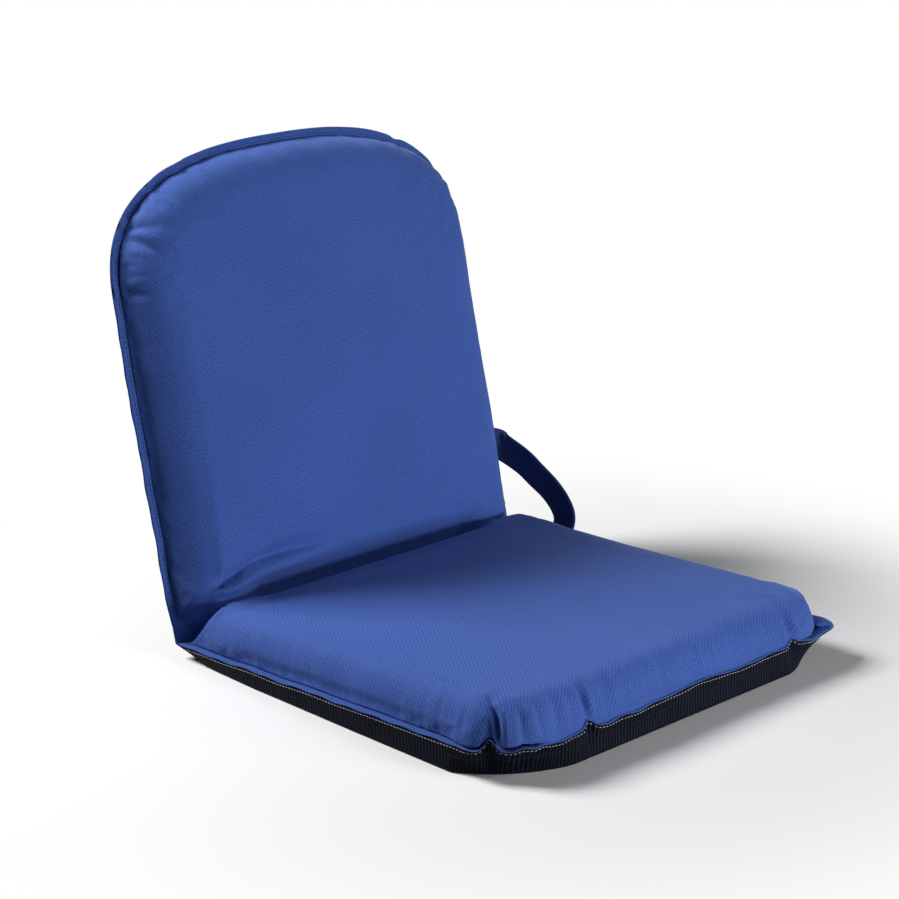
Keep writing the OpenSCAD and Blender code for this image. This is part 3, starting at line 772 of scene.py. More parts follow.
@dataclass
class Cushions:
    """The blue cover over both pads and the fold between them, as one swollen piece.

    A valley is pressed into the cover at the crease, less deep over the hinges. It runs out over the
    roll on the seat, and along the lens line on the back. At the ends of the crease the cover closes
    in a flat web, whose sizes are given across and along, for the seat and then for the back.
    """

    columns: int = 120
    seat_rows: int = 100
    back_rows: int = 104
    seam_top: float = 0.8
    crown_from: float = 60.0
    crown_over: float = 120.0
    valley: float = 36.0
    valley_at_hinge: float = 3.5
    hinge_span: tuple[float, float] = (116.0, 182.0)
    hinge_ease: tuple[float, float] = (42.0, 8.0)
    roll: float = 28.0
    hollow: tuple[float, float, float] = (2.5, 52.0, -20.0)
    web: tuple[tuple[float, float], tuple[float, float]] = ((14.0, 12.0), (17.0, 28.0))
    lean_from: float = 66.0
    swell_cap: float = 1.6
    frames: int = 20
    close_until: tuple[float, float] = (-0.2, -0.45)
    tuck: float = 5.0
    lens: tuple[tuple[float, float], ...] = (
        (-190.0, 34.0), (-172.0, 40.6), (-148.0, 46.4), (-118.0, 50.9), (-81.0, 51.5), (-34.0, 50.4),
        (15.0, 47.4), (65.0, 43.4), (117.0, 38.3), (190.0, 32.0))
    lens_fold: float = 10.0
    lens_lip: float = 4.0
    ripples: tuple[tuple[float, float, float], ...] = ((0.5, 27.0, 0.0), (0.4, 15.3, 1.0), (0.3, 9.1, 2.2))

    @staticmethod
    def _quarter(half: Half, edge: float | np.ndarray) -> float | np.ndarray:
        """Length of the rounded edge, from the stitching to the flat of the pad."""
        return math.pi / 2 * np.sqrt((edge ** 2 + half.pad ** 2) / 2)

    def _plan_of(self, half: Half, a: np.ndarray) -> np.ndarray:
        """Turns distances over the cover's rounded edge into distances in plan.

        Args:
            half: The half that the edge belongs to.
            a: Distances over the edge, from the stitching.

        Returns:
            Plan distances in from the stitching.
        """
        quarter = self._quarter(half, half.edge)
        inner = half.edge * (1 - np.cos(np.clip(a / quarter, 0, 1) * math.pi / 2))
        return np.where(a < quarter, inner, half.edge + a - quarter)

    def _grid(self, half: Half, u: np.ndarray, v: np.ndarray) -> tuple[np.ndarray, np.ndarray]:
        """Places of grid points on a half, from u across (-1 to 1) and v along (0 to 1).

        Args:
            half: The half that the points belong to.
            u: Places across.
            v: Places along, from the crease to the far end.

        Returns:
            Places across and along the half, in millimetres.
        """
        width, length = half.half_width - half.stitch, half.length - half.stitch
        extra = self._quarter(half, half.edge) - half.edge
        u = np.interp(u, (-1.0, self.close_until[0], 1.0), (-1.0, self.close_until[1], 1.0))
        f = np.sign(u) * (width - self._plan_of(half, (1 - np.abs(u)) * (width + extra))) / width
        s = length - self._plan_of(half, (1 - v) * (length + extra))
        if half is SEAT:
            wide = np.where(f > 0, half.half_width_at(s, half.stitch, True),
                            half.half_width_at(s, half.stitch, False))
            return f * wide, s
        start = half.length - half.arch
        y = np.clip((s - start) / (half.arch - half.stitch), 0.0, 1.0)
        px, py = f * np.sqrt(1 - y * y / 2), y * np.sqrt(1 - f * f / 2)
        rho = np.hypot(px, py)
        safe = np.where(rho < 1e-9, 1.0, rho)
        n = half.arch_full
        grow = np.where(rho < 1e-9, 1.0, ((np.abs(px) / safe) ** n + (np.abs(py) / safe) ** n) ** (-1 / n))
        inside = s > start
        return np.where(inside, width * px * grow, f * width), np.where(
            inside, start + (half.arch - half.stitch) * py * grow, s)

    def _height(self, half: Half, x: np.ndarray, s: np.ndarray, d: np.ndarray) -> np.ndarray:
        """Height of the pad, with the valley at the crease and the flat webs at its ends.

        Args:
            half: The half that the places belong to.
            x: Places across.
            s: Places along.
            d: Distances in from the stitching.

        Returns:
            Heights over the seam plane, in millimetres.
        """
        edge = bulge(d / half.edge_at(x))
        t = np.clip((s - self.crown_from) / (half.length - self.crown_from), 0.0, 1.0)
        high = half.pad - half.thinning * t * t - self.seam_top
        z = high * edge + half.crown * 4 * t * (1 - t) * smooth(d / self.crown_over)
        if half is BACK:
            fall = np.clip(1 - s / np.interp(x, *np.array(self.lens).T), 0, 1) ** 1.6
        else:
            fall = np.clip(1 - s / self.roll, 0, 1) ** 2.2
            depth, at_s, at_x = self.hollow
            sunk = np.exp(-((s - at_s) / 16.0) ** 2) * np.exp(-((x - at_x) / 150.0) ** 4)
            z = z - depth * sunk * bulge(d / 40.0)
        (start, end), (rise, drop) = self.hinge_span, self.hinge_ease
        over_hinge = smooth((np.abs(x) - start) / rise) * (1 - smooth((np.abs(x) - end) / drop))
        z = z - (self.valley + (self.valley_at_hinge - self.valley) * over_hinge) * fall * edge
        web_x, web_s = self.web[half is BACK]
        in_x = np.clip(half.half_width - BACK.stitch - np.abs(x), 0, None) / web_x
        in_s = np.clip(s / web_s, 0, None)
        z = z * bulge(3.0 * (in_x ** 0.8 + in_s ** 0.8 - 1))
        return np.maximum(z, 0.0) + self.seam_top

    def _lens_fold(self, x: np.ndarray, s: np.ndarray) -> np.ndarray:
        """Depth of the long lens-shaped fold that the bend presses into the back's lower end.

        Args:
            x: Places across the back.
            s: Places along the back.

        Returns:
            Depths in millimetres, below 0 on the lip under the fold.
        """
        off = s - np.interp(x, *np.array(self.lens).T)
        full = smooth((x + 196.0) / 30.0) * (1 - smooth((x + 110.0) / 90.0))
        groove = np.exp(-((off / np.where(off > 0, 13.0, 5.0)) ** 2))
        lip = np.exp(-((off + 13.0) / 8.0) ** 2)
        return full * (self.lens_fold * groove - self.lens_lip * lip)

    def _tucked(self, x: np.ndarray, s: np.ndarray, z: np.ndarray) -> np.ndarray:
        """Narrows the seat's cover to the back's at the crease, and tucks its left side under.

        Args:
            x: Places across the seat.
            s: Places along the seat.
            z: Heights over the seam plane.

        Returns:
            The places across after that.
        """
        narrower = (BACK.stitch - SEAT.stitch) * (1 - smooth(s / 70.0))
        x = x * (1 - narrower / (SEAT.half_width - SEAT.stitch))
        under = self.tuck * (1 - smooth(z / 15.0)) * (1 - smooth((s - 320.0) / 50.0)) * smooth(s / 70.0)
        return x + under * smooth((-150.0 - x) / 40.0)

    @staticmethod
    def _drawn_in(half: Half, x: np.ndarray, s: np.ndarray, z: np.ndarray) -> np.ndarray:
        """Draws the cover's long sides in, most at the middle of a half and at the back's lower right.

        Args:
            half: The half that the places belong to.
            x: Places across.
            s: Places along.
            z: Heights over the seam plane.

        Returns:
            The places across after that.
        """
        draw = half.draw * np.sin(np.pi * s / half.length) ** 2 * smooth(z / 10.0)
        if half is BACK:
            lower = 1.2 + 4.0 * (1 - smooth((s - 30.0) / 120.0))
            draw += (x > 0) * lower * (1 - smooth((s - 200.0) / 80.0)) * smooth((z - 5.0) / 16.0)
        return x - np.sign(x) * draw * np.clip(np.abs(x) / 200.0, 0, 1)

    def _cloth_at(self, half: Half, x: np.ndarray, s: np.ndarray, inset: Sequence[np.ndarray]) -> np.ndarray:
        """Lays the cloth of one panel flat, with its rounded edge at full length.

        Args:
            half: The half that the panel covers.
            x: Places across.
            s: Places along.
            inset: Distances in from the stitching, and the way in as two arrays.

        Returns:
            Rows of cloth coordinates, in metres.
        """
        d, gx, gs = inset
        edge = half.edge_at(x)
        share = np.clip(1 - d / edge, 0, 1)
        extra = np.arcsin(share) / (math.pi / 2) * self._quarter(half, edge) - edge * share
        flat = np.c_[x - gx * extra, -(s - gs * extra)] * MM
        return flat + (BACK_PANEL if half is BACK else 0.0, 0.0)

    def _points(self, u: np.ndarray, w: np.ndarray) -> dict[str, np.ndarray]:
        """Points of the cover for grid places u and w, both from -1 to 1.

        Args:
            u: Places across.
            w: Places along, where the seat's front is -1 and the back's top is 1.

        Returns:
            Points in millimetres, cloth coordinates in metres, and the place on each half.
        """
        share = self.seat_rows / (self.seat_rows + self.back_rows)
        v = (w + 1) / 2
        on_seat = v <= share
        out, cloth, plan = np.zeros((len(u), 3)), np.zeros((len(u), 2)), np.zeros((len(u), 2))
        parts = ((SEAT, on_seat, (share - v) / share), (BACK, ~on_seat, (v - share) / (1 - share)))
        for half, mask, along in parts:
            x, s = self._grid(half, u[mask], np.clip(along[mask], 0, 1))
            d, gx, gs, _ = half.edge_distance(x, s, half.stitch)
            z = self._height(half, x, s, d)
            x = self._tucked(x, s, z) if half is SEAT else x
            lean = np.clip(1 - s / self.lean_from, 0, 1) ** 1.5 / math.tan(REST_ANGLE / 2)
            out[mask] = half.place(self._drawn_in(half, x, s, z), s + lean * z, z)
            cloth[mask] = self._cloth_at(half, x, s, (d, gx, gs))
            plan[mask] = np.c_[x, s]
        return {"place": out, "cloth": cloth, "plan": plan, "back": (~on_seat).astype(float)}

    def build(self) -> bpy.types.Object:
        """Makes the finished cover, closed underneath along both seam planes.

        Returns:
            The cover.
        """
        rows = self.seat_rows + self.back_rows
        bm = bmesh.new()
        bmesh.ops.create_grid(bm, x_segments=self.columns, y_segments=rows, size=1.0)
        uv = bm.loops.layers.uv.new("cloth")
        layers = [bm.verts.layers.float.new(name) for name in ("plan_x", "plan_s", "on_back")]
        grid = np.array([v.co[:2] for v in bm.verts])
        made = self._points(grid[:, 0], grid[:, 1])
        bm.verts.index_update()
        for v in bm.verts:
            v.co = made["place"][v.index] * MM
            values = (*made["plan"][v.index], made["back"][v.index])
            for layer, value in zip(layers, values):
                v[layer] = float(value)
        for face in bm.faces:
            backs = [made["back"][loop.vert.index] for loop in face.loops]
            over_fold = min(backs) < max(backs)
            for loop, back in zip(face.loops, backs):
                shift = BACK_PANEL if over_fold and not back else 0.0
                loop[uv].uv = made["cloth"][loop.vert.index] + (shift, 0.0)
        bmesh.ops.recalc_face_normals(bm, faces=bm.faces)
        middle = min(bm.faces, key=lambda f: (f.calc_center_median() - Vector((0, 0, 0.05))).length)
        if middle.normal.z < 0:
            bmesh.ops.reverse_faces(bm, faces=bm.faces)
        pinned = [v.index for v in bm.verts if v.is_boundary]
        share = self.seat_rows / rows
        fold = [i for i in range(len(grid)) if abs((grid[i, 1] + 1) / 2 - share) < 0.6 / rows]
        obj = mesh_object("pad_cover", bm)
        self._swell(obj, pinned, fold)
        apply_modifier(obj, "SUBSURF", levels=1, render_levels=1)
        self._gather(obj)
        self._close(obj)
        return obj

    def _swell(self, obj: bpy.types.Object, pinned: Sequence[int], fold: Sequence[int]) -> None:
        """Lets the cloth swell and settle over its seams, then keeps the result in the mesh.

        Args:
            obj: The cover.
            pinned: Points that stay where they are.
            fold: Points of the crease, which hardly move.
        """
        start = np.array([v.co[:] for v in obj.data.vertices])
        group = obj.vertex_groups.new(name="held")
        group.add(list(pinned), 1.0, "REPLACE")
        group.add([i for i in fold if i not in set(pinned)], 0.95, "REPLACE")
        mod = obj.modifiers.new("Cloth", "CLOTH")
        cloth = mod.settings
        cloth.quality = 6
        cloth.mass = 0.25
        cloth.tension_stiffness = 20
        cloth.compression_stiffness = 20
        cloth.shear_stiffness = 8
        cloth.bending_stiffness = 0.8
        cloth.use_pressure = True
        cloth.uniform_pressure_force = 4.0
        cloth.effector_weights.gravity = 0.0
        cloth.shrink_min = -0.012
        cloth.vertex_group_mass = "held"
        mod.collision_settings.use_collision = False
        scene = bpy.context.scene
        for frame in range(1, self.frames + 1):
            scene.frame_set(frame)
        done = obj.evaluated_get(bpy.context.evaluated_depsgraph_get())
        moved = np.array([v.co[:] for v in done.data.vertices])
        obj.modifiers.remove(mod)
        scene.frame_set(1)
        step = moved - start
        size = np.linalg.norm(step, axis=1, keepdims=True)
        cap = self.swell_cap * MM
        step = step * np.minimum(1.0, cap / np.maximum(size, 1e-9))
        obj.data.vertices.foreach_set("co", (start + step).ravel().astype(np.float32))
        obj.data.update()
        obj.vertex_groups.clear()
        LOG.info("pad cover swelled by up to %.1f mm, mean %.2f mm", size.max() * 1000, size.mean() * 1000)

    def _gather(self, obj: bpy.types.Object) -> None:
        """Presses the gathers and small ripples into the cover, and moves its edge with the seam.

        Args:
            obj: The cover.
        """
        mesh = obj.data
        count = len(mesh.vertices)
        co, normal = np.zeros(count * 3), np.zeros(count * 3)
        mesh.vertices.foreach_get("co", co)
        mesh.vertices.foreach_get("normal", normal)
        co, normal = co.reshape(-1, 3) / MM, normal.reshape(-1, 3)
        values = {}
        for name in ("plan_x", "plan_s", "on_back"):
            values[name] = np.zeros(count)
            mesh.attributes[name].data.foreach_get("value", values[name])
        for half, mask in ((SEAT, values["on_back"] <= 0.5), (BACK, values["on_back"] > 0.5)):
            x, s = values["plan_x"][mask], values["plan_s"][mask]
            d, _, _, place = half.edge_distance(x, s, half.stitch)
            press = self._lens_fold(x, s) * bulge(d / 26.0) if half is BACK else np.zeros(len(x))
            for p in PUCKERS[half.side]:
                press += p.depth * p.fold(x, s) * bulge(d / 5.0)
            wave = sum(high * np.sin(place * 2 * math.pi / long + phase)
                       for high, long, phase in self.ripples)
            strong = 0.25 + 0.75 * smooth((s - half.length + 150.0) / 90.0)
            press += 0.75 * strong * wave * bulge(d / 6.0) * np.exp(-d / 13.0) * smooth(s / 60.0)
            dx, ds, dz = seam_shift(half, x, s)
            hold = np.exp(-((d / 13.0) ** 2))
            move = half.place(dx * hold, ds * hold, dz * hold) - CORNER
            co[mask] += move - normal[mask] * press[:, None]
        mesh.vertices.foreach_set("co", (co * MM).ravel().astype(np.float32))
        mesh.update()
        for name in values:
            mesh.attributes.remove(mesh.attributes[name])

    def _close(self, obj: bpy.types.Object) -> None:
        """Closes the cover with one flat face under each half.

        Args:
            obj: The cover.
        """
        bm = bmesh.new()
        bm.from_mesh(obj.data)
        rim = [e for e in bm.edges if e.is_boundary]
        ends = {v for e in rim for v in e.verts}

        def corner(side: int) -> bmesh.types.BMVert:
            """The rim's point nearest to one end of the hinge corner."""
            return min((v for v in ends if v.co.x * side > 0),
                       key=lambda v: math.hypot(v.co.y - CORNER[1] * MM, v.co.z - CORNER[2] * MM))

        right, left = corner(1), corner(-1)
        tie = bm.edges.new((right, left))
        middle = (right.co + left.co) / 2
        for sign in (-1, 1):
            loop = [e for e in rim
                    if ((e.verts[0].co + e.verts[1].co) / 2 - middle).dot(ACROSS_BEND) * sign > 0]
            bmesh.ops.edgeloop_fill(bm, edges=[*loop, tie])
        bmesh.ops.recalc_face_normals(bm, faces=bm.faces)
        bm.to_mesh(obj.data)
        bm.free()


# ---- seam, base cloth and stitches


def ring_path(inset: float, step: float) -> tuple[np.ndarray, np.ndarray, list[Side]]:
    """Points right round both halves, set in by inset from the seam's outer edge.

    Args:
        inset: How far the ring lies inside the outer edge.
        step: Distance between points.

    Returns:
        Points in millimetres, the outward directions there, and the side of each point.
    """
    parts: list[np.ndarray] = []
    outs: list[np.ndarray] = []
    sides: list[Side] = []
    for half in (SEAT, BACK):
        line = half.outline(inset, step)
        line = (line[::-1] if half is BACK else line)[:-1]
        nxt = np.roll(line, -1, axis=0)
        nxt[-1] = line[-1] + (line[-1] - line[-2])
        prv = np.roll(line, 1, axis=0)
        prv[0] = line[0] - (line[1] - line[0])
        t = nxt - prv
        n = np.c_[t[:, 1], -t[:, 0]]
        n /= np.maximum(np.linalg.norm(n, axis=1, keepdims=True), 1e-9)
        starts_at = 1.0 if half is SEAT else -1.0
        if n[0, 0] * starts_at < 0:
            n = -n
        parts.append(line)
        outs.append(n)
        sides += [half.side] * len(line)
    return np.vstack(parts), np.vstack(outs), sides


def ring_edges(bm: bmesh.types.BMesh, ring: Sequence[bmesh.types.BMVert]) -> list[bmesh.types.BMEdge]:
    """The edges of a closed ring of vertices, in its own order."""
    return [bm.edges.get(pair) for pair in zip(ring, [*ring[1:], ring[0]])]


def sweep(rings: Sequence[np.ndarray], across: Sequence[float],
          join: bool = False) -> tuple[bmesh.types.BMesh, list]:
    """Draws a ring of edges on through further rings, and lays a cloth map along it.

    Args:
        rings: Closed rings of points in millimetres, all with the same count.
        across: Place of each ring across the cloth, in millimetres.
        join: Whether the last ring is joined to the first.

    Returns:
        The mesh, and its points ring by ring.
    """
    bm = bmesh.new()
    uv = bm.loops.layers.uv.new("cloth")
    count = len(rings[0])
    bmesh.ops.create_circle(bm, segments=count, radius=1.0)
    bm.verts.ensure_lookup_table()
    start = bm.verts[0]
    ordered, before = [start], start.link_edges[0].other_vert(start)
    while len(ordered) < count:
        here = ordered[-1]
        ahead = next(v for e in here.link_edges if (v := e.other_vert(here)) is not before)
        before = here
        ordered.append(ahead)
    edges = first_edges = ring_edges(bm, ordered)
    made = [ordered]
    for v, p in zip(ordered, rings[0]):
        v.co = p * MM
    for ring in rings[1:]:
        geom = bmesh.ops.extrude_edge_only(bm, edges=edges)["geom"]
        fresh = {g for g in geom if isinstance(g, bmesh.types.BMVert)}
        ordered = [next(e.other_vert(v) for e in v.link_edges if e.other_vert(v) in fresh) for v in made[-1]]
        for v, p in zip(ordered, ring):
            v.co = p * MM
        edges = ring_edges(bm, ordered)
        made.append(ordered)
    if join:
        bmesh.ops.bridge_loops(bm, edges=[*first_edges, *edges])
    along = np.concatenate([[0.0], np.cumsum(np.linalg.norm(np.diff(rings[0], axis=0), axis=1))])
    round_trip = along[-1] + np.linalg.norm(rings[0][-1] - rings[0][0])
    full = across[-1] + (across[-1] - across[-2])
    where = {v: (along[i], across[k]) for k, ring in enumerate(made) for i, v in enumerate(ring)}
    for face in bm.faces:
        places = [where[loop.vert] for loop in face.loops]
        wraps = [max(q[k] for q in places) - min(q[k] for q in places) > 0.5 * size
                 for k, size in ((0, round_trip), (1, full))]
        for loop, (a, b) in zip(face.loops, places):
            a += round_trip if wraps[0] and a < 0.5 * round_trip else 0.0
            b += full if join and wraps[1] and b < 0.5 * full else 0.0
            loop[uv].uv = (a * MM, b * MM)
    return bm, made


def closed_by_ends(bm: bmesh.types.BMesh) -> None:
    """Fills every open ring of a swept piece, with the cloth map laid flat over it.

    Args:
        bm: The swept piece.
    """
    uv = bm.loops.layers.uv["cloth"]
    known = set(bm.faces)
    bmesh.ops.holes_fill(bm, edges=[e for e in bm.edges if e.is_boundary])
    for face in set(bm.faces) - known:
        for loop in face.loops:
            loop[uv].uv = (loop.vert.co.x, loop.vert.co.y + loop.vert.co.z)
    bmesh.ops.recalc_face_normals(bm, faces=bm.faces)


@dataclass
class SeamBand:
    """The seam allowance: a flat band of cloth that stands out all round both halves.

    It is wider at the seat's right front corner, and rides up a little at the hinge corner so that
    the base cloth stays under it. The section is given as shares of its width and thickness.
    """

    width: float = 9.0
    thick: float = 1.2
    step: float = 3.0
    corner_room: float = 9.0
    corner_at: tuple[float, float] = (196.0, 392.0)
    corner_over: float = 30.0
    hinge_rise: float = 0.9
    hinge_over: float = 14.0
    section: tuple[tuple[float, float], ...] = (
        (0.2, -0.45), (0.0, 0.0), (0.2, 0.45), (0.45, 0.5), (1.0, 0.5), (1.0, -0.5), (0.45, -0.5))
    unrolled: tuple[float, ...] = (0.0, 1.0, 2.0, 4.0, 9.0, 11.0, 15.0)

    def build(self) -> bpy.types.Object:
        """Makes the band, as one closed ring with rounded edges.

        Returns:
            The band.
        """
        line, out, sides = ring_path(0.0, self.step)
        away = (line[:, 0] - self.corner_at[0]) ** 2 + (line[:, 1] - self.corner_at[1]) ** 2
        room = self.corner_room * np.exp(-away / self.corner_over ** 2)
        loops: list[np.ndarray] = []
        for a, b in self.section:
            pts = np.zeros((len(line), 3))
            for half in (SEAT, BACK):
                mask = np.array([side is half.side for side in sides])
                x0, s0 = line[mask].T
                inset = a * (self.width + room[mask] * (half is SEAT))
                dx, ds, dz = seam_shift(half, x0, s0)
                wave = 0.5 * np.sin(x0 / 6.1 + s0 / 5.3) * (1 - a)
                wave += self.hinge_rise * np.exp(-((s0 / self.hinge_over) ** 2))
                pts[mask] = half.place(x0 - out[mask, 0] * inset + dx, s0 - out[mask, 1] * inset + ds,
                                       b * self.thick + dz * (1 - 0.15 * a) + wave)
            loops.append(pts)
        bm, _ = sweep(loops, self.unrolled, join=True)
        bmesh.ops.recalc_face_normals(bm, faces=bm.faces)
        return mesh_object("seam_band", bm)


HINGE_SLOPE = 34.0  # length over which the base cloth slopes up to the hinge corner
HINGE_DEPTH = 0.9  # how deep it still is there


def seat_depth(s: np.ndarray) -> np.ndarray:
    """Depth of the base cloth under the seat's seam plane, tapering to nothing at the corner.

    Args:
        s: Places along the seat.

    Returns:
        Depths in millimetres.
    """
    deep = (CORNER[2] + s * math.sin(SEAT_TILT)) / math.cos(SEAT_TILT)
    share = np.clip(s / HINGE_SLOPE, 0.0, 1.0)
    return deep * share + HINGE_DEPTH * (1 - share)


@dataclass
class BaseCloth:
    """The coated cloth: a tray under the seat, a slope up to the corner, and the back's rear panel.

    Each foot is a front corner of the sole: its side, the centre of its curve across and along, and
    the curve's radius. The sole gives the half width on the floor at places along the seat. A panel
    is split along the bends, which are given as distances from the hinge corner.
    """

    step: float = 3.0
    wall_rows: int = 9
    top: float = 0.85
    rear_depth: float = 1.2
    feet: tuple[tuple[float, float, float, float], ...] = (
        (-1.0, 92.6, 267.2, 139.0), (1.0, 118.0, 298.0, 108.0))
    sole: tuple[tuple[float, float], ...] = (
        (0.0, 209.0), (30.0, 204.5), (56.0, 206.0), (104.0, 208.0), (334.0, 210.0))
    flange: tuple[tuple[float, float, float], ...] = ((0.0, 12.0, 2.6), (0.0, 6.0, 0.3), (0.0, 1.0, 0.0))
    hem: tuple[tuple[float, float, float], ...] = ((0.94, 0.9, 0.0), (0.985, 2.0, 0.0), (1.0, 4.0, 0.0))
    sole_bends: tuple[float, ...] = (76.0, 56.0, 36.0, 24.0, 13.0, 2.0)
    flange_bends: tuple[float, ...] = (2.0,)
    rear_bends: tuple[float, ...] = (80.0, 66.0, 53.0, 40.0, 27.0, 14.0)

    def wall(self, half: Half, line: np.ndarray, out: np.ndarray, t: float | np.ndarray,
             inset: float) -> np.ndarray:
        """Points on the cloth at share t of its depth under a piece of the seam.

        Args:
            half: The half that the seam belongs to.
            line: Places on the seam's outer edge.
            out: The outward directions there.
            t: Share of the depth, 0 at the seam and 1 on the floor.
            inset: How far inside the outer edge the points lie.

        Returns:
            Points in millimetres.
        """
        x0, s0 = line[:, 0], line[:, 1]
        dx, ds, dz = seam_shift(half, x0, s0)
        x, s = x0 - out[:, 0] * inset, s0 - out[:, 1] * inset
        if half is BACK:
            keep = 1 - t
            return half.place(x + dx * keep, s + ds * keep, -self.top - t * self.rear_depth + dz * keep)
        push = np.zeros_like(x0)
        for p in PUCKERS[Side.SEAT]:
            if p.lift > 2:
                push += 0.6 * p.lift * np.exp(-((x0 - p.x) ** 2 + (s0 - p.s) ** 2) / 26.0)
        push *= (1 - t) ** 0.7 * np.minimum(1.0, 5 * t)
        x, s = self._draw_in(x - out[:, 0] * push, s - out[:, 1] * push, t)
        keep = (1 - t) ** 1.3
        depth = self.top * (1 - t) + t * seat_depth(np.maximum(s0, 0))
        return half.place(x + dx * keep, s + ds * keep, dz * keep - depth)

    def _ring(self, t: float, inset: float, sink: float) -> np.ndarray:
        """Points round the seat's wall, then round the rear panel's edge.

        Args:
            t: Share of the cloth's depth at which the ring lies.
            inset: How far inside the seam's outer edge it lies.
            sink: How far it lies under that place, no more than a share of the depth.

        Returns:
            Points in millimetres.
        """
        line, out, sides = ring_path(0.0, self.step)
        pts = np.zeros((len(line), 3))
        for half in (SEAT, BACK):
            mask = np.array([side is half.side for side in sides])
            deep = (seat_depth(np.maximum(line[mask, 1], 0)) if half is SEAT
                    else np.full(mask.sum(), self.rear_depth))
            drop = np.minimum(sink, 0.4 * deep)
            pts[mask] = self.wall(half, line[mask], out[mask], t, inset) - drop[:, None] * half.up
        return pts

    def _draw_in(self, x: np.ndarray, s: np.ndarray, t: float | np.ndarray) -> tuple[np.ndarray, np.ndarray]:
        """Pulls the wall in under the front corners and the hinge corner, more the lower it is.

        Args:
            x: Places across.
            s: Places along.
            t: Share of the cloth's depth.

        Returns:
            The places across and along after that.
        """
        for side, cx, cs, radius in self.feet:
            qx, qs = x * side - cx, s - cs
            corner = (qx > 0) & (qs > 0)
            far = np.hypot(qx, qs)
            ratio = np.where(corner & (far > radius), radius / np.maximum(far, 1e-6), 1.0)
            ratio = 1 + (ratio - 1) * t ** 0.8
            x, s = np.where(corner, side * (cx + qx * ratio), x), np.where(corner, cs + qs * ratio, s)
        limit = np.interp(s, *np.array(self.sole).T)
        return x + (np.clip(x, -limit, limit) - x) * t, s

    def build(self) -> bpy.types.Object:
        """Makes the cloth, as one closed shell.

        Returns:
            The base cloth.
        """
        wall = [(t, 0.5 + 0.8 * math.sin(math.pi * t), 0.0) for t in np.linspace(0.08, 0.86, self.wall_rows)]
        stages = [*self.flange, *wall, *self.hem]
        bm, rings = sweep([self._ring(*stage) for stage in stages], [3.0 * k for k in range(len(stages))])
        closed_by_ends(bm)
        panels = self._crease(rings[-1], self.sole_bends) + self._crease(rings[0], self.flange_bends)
        bmesh.ops.recalc_face_normals(bm, faces=bm.faces)
        LOG.info("base cloth has %d flat panels", panels)
        return mesh_object("base_cloth", bm)

    def _crease(self, ring: Sequence[bmesh.types.BMVert], seat_bends: Sequence[float]) -> int:
        """Splits the panel that fills a ring where the cloth bends between floor, slope and back.

        Args:
            ring: The panel's outline.
            seat_bends: Distances from the hinge corner of the bends on the seat's side.

        Returns:
            The number of panels that the ring then holds.
        """
        rel = np.array([v.co[:] for v in ring]) / MM - CORNER
        s, r = rel @ SEAT.along, rel @ BACK.along
        cuts = [(s, s > r, bend) for bend in seat_bends] + [(r, s <= r, bend) for bend in self.rear_bends]
        made = 1
        for measure, mask, bend in cuts:
            ends = []
            for sign in (1, -1):
                own = [i for i in range(len(ring)) if mask[i] and rel[i, 0] * sign > 0]
                ends.append(ring[min(own, key=lambda i: abs(measure[i] - bend))])
            shared = [f for f in ends[0].link_faces if ends[1] in f.verts and len(f.verts) > 4]
            if shared:
                bmesh.utils.face_split(shared[0], *ends)
                made += 1
        return made


@dataclass
class Stitches:
    """Rows of short stitches that lie along the seams."""

    name: str
    half: Half
    finish: Finish
    pitch: float
    long: float
    thick: float
    place_at: Callable[[np.ndarray, np.ndarray, np.ndarray], np.ndarray]
    start: float = 0.0
    span: tuple[float, float] = (0.0, 1.0)

    def build(self) -> bpy.types.Object:
        """Makes the stitches, each a small rounded bead of thread.

        Returns:
            The row, as one object.
        """
        half = self.half
        line = half.outline(0.0, self.pitch)
        t = np.gradient(line, axis=0)
        out = np.c_[t[:, 1], -t[:, 0]]
        out /= np.linalg.norm(out, axis=1, keepdims=True)
        if out[0, 0] < 0:
            out = -out
        pts = self.place_at(line, out, np.c_[seam_shift(half, line[:, 0], line[:, 1])])
        bm = bmesh.new()
        first, last = int(self.span[0] * len(line)) + 1, int(self.span[1] * len(line)) - 1
        for i in range(first, last):
            if line[i, 1] <= self.start:
                continue
            run = Vector(pts[i + 1] - pts[i - 1]).normalized()
            outer = half.place(line[i, 0] + out[i, 0], line[i, 1] + out[i, 1], 0.0)
            normal = Vector(outer - half.place(line[i, 0], line[i, 1], 0.0)).normalized()
            side = run.cross(normal).normalized()
            turn = Matrix((run, normal, side)).transposed().to_4x4()
            size = Matrix.Diagonal((self.long / 2 * MM, self.thick / 2 * MM, self.thick / 2 * MM, 1.0))
            move = Matrix.Translation(Vector(pts[i] * MM))
            bmesh.ops.create_icosphere(bm, subdivisions=1, radius=1.0, matrix=move @ turn @ size)
        return mesh_object(self.name, bm)


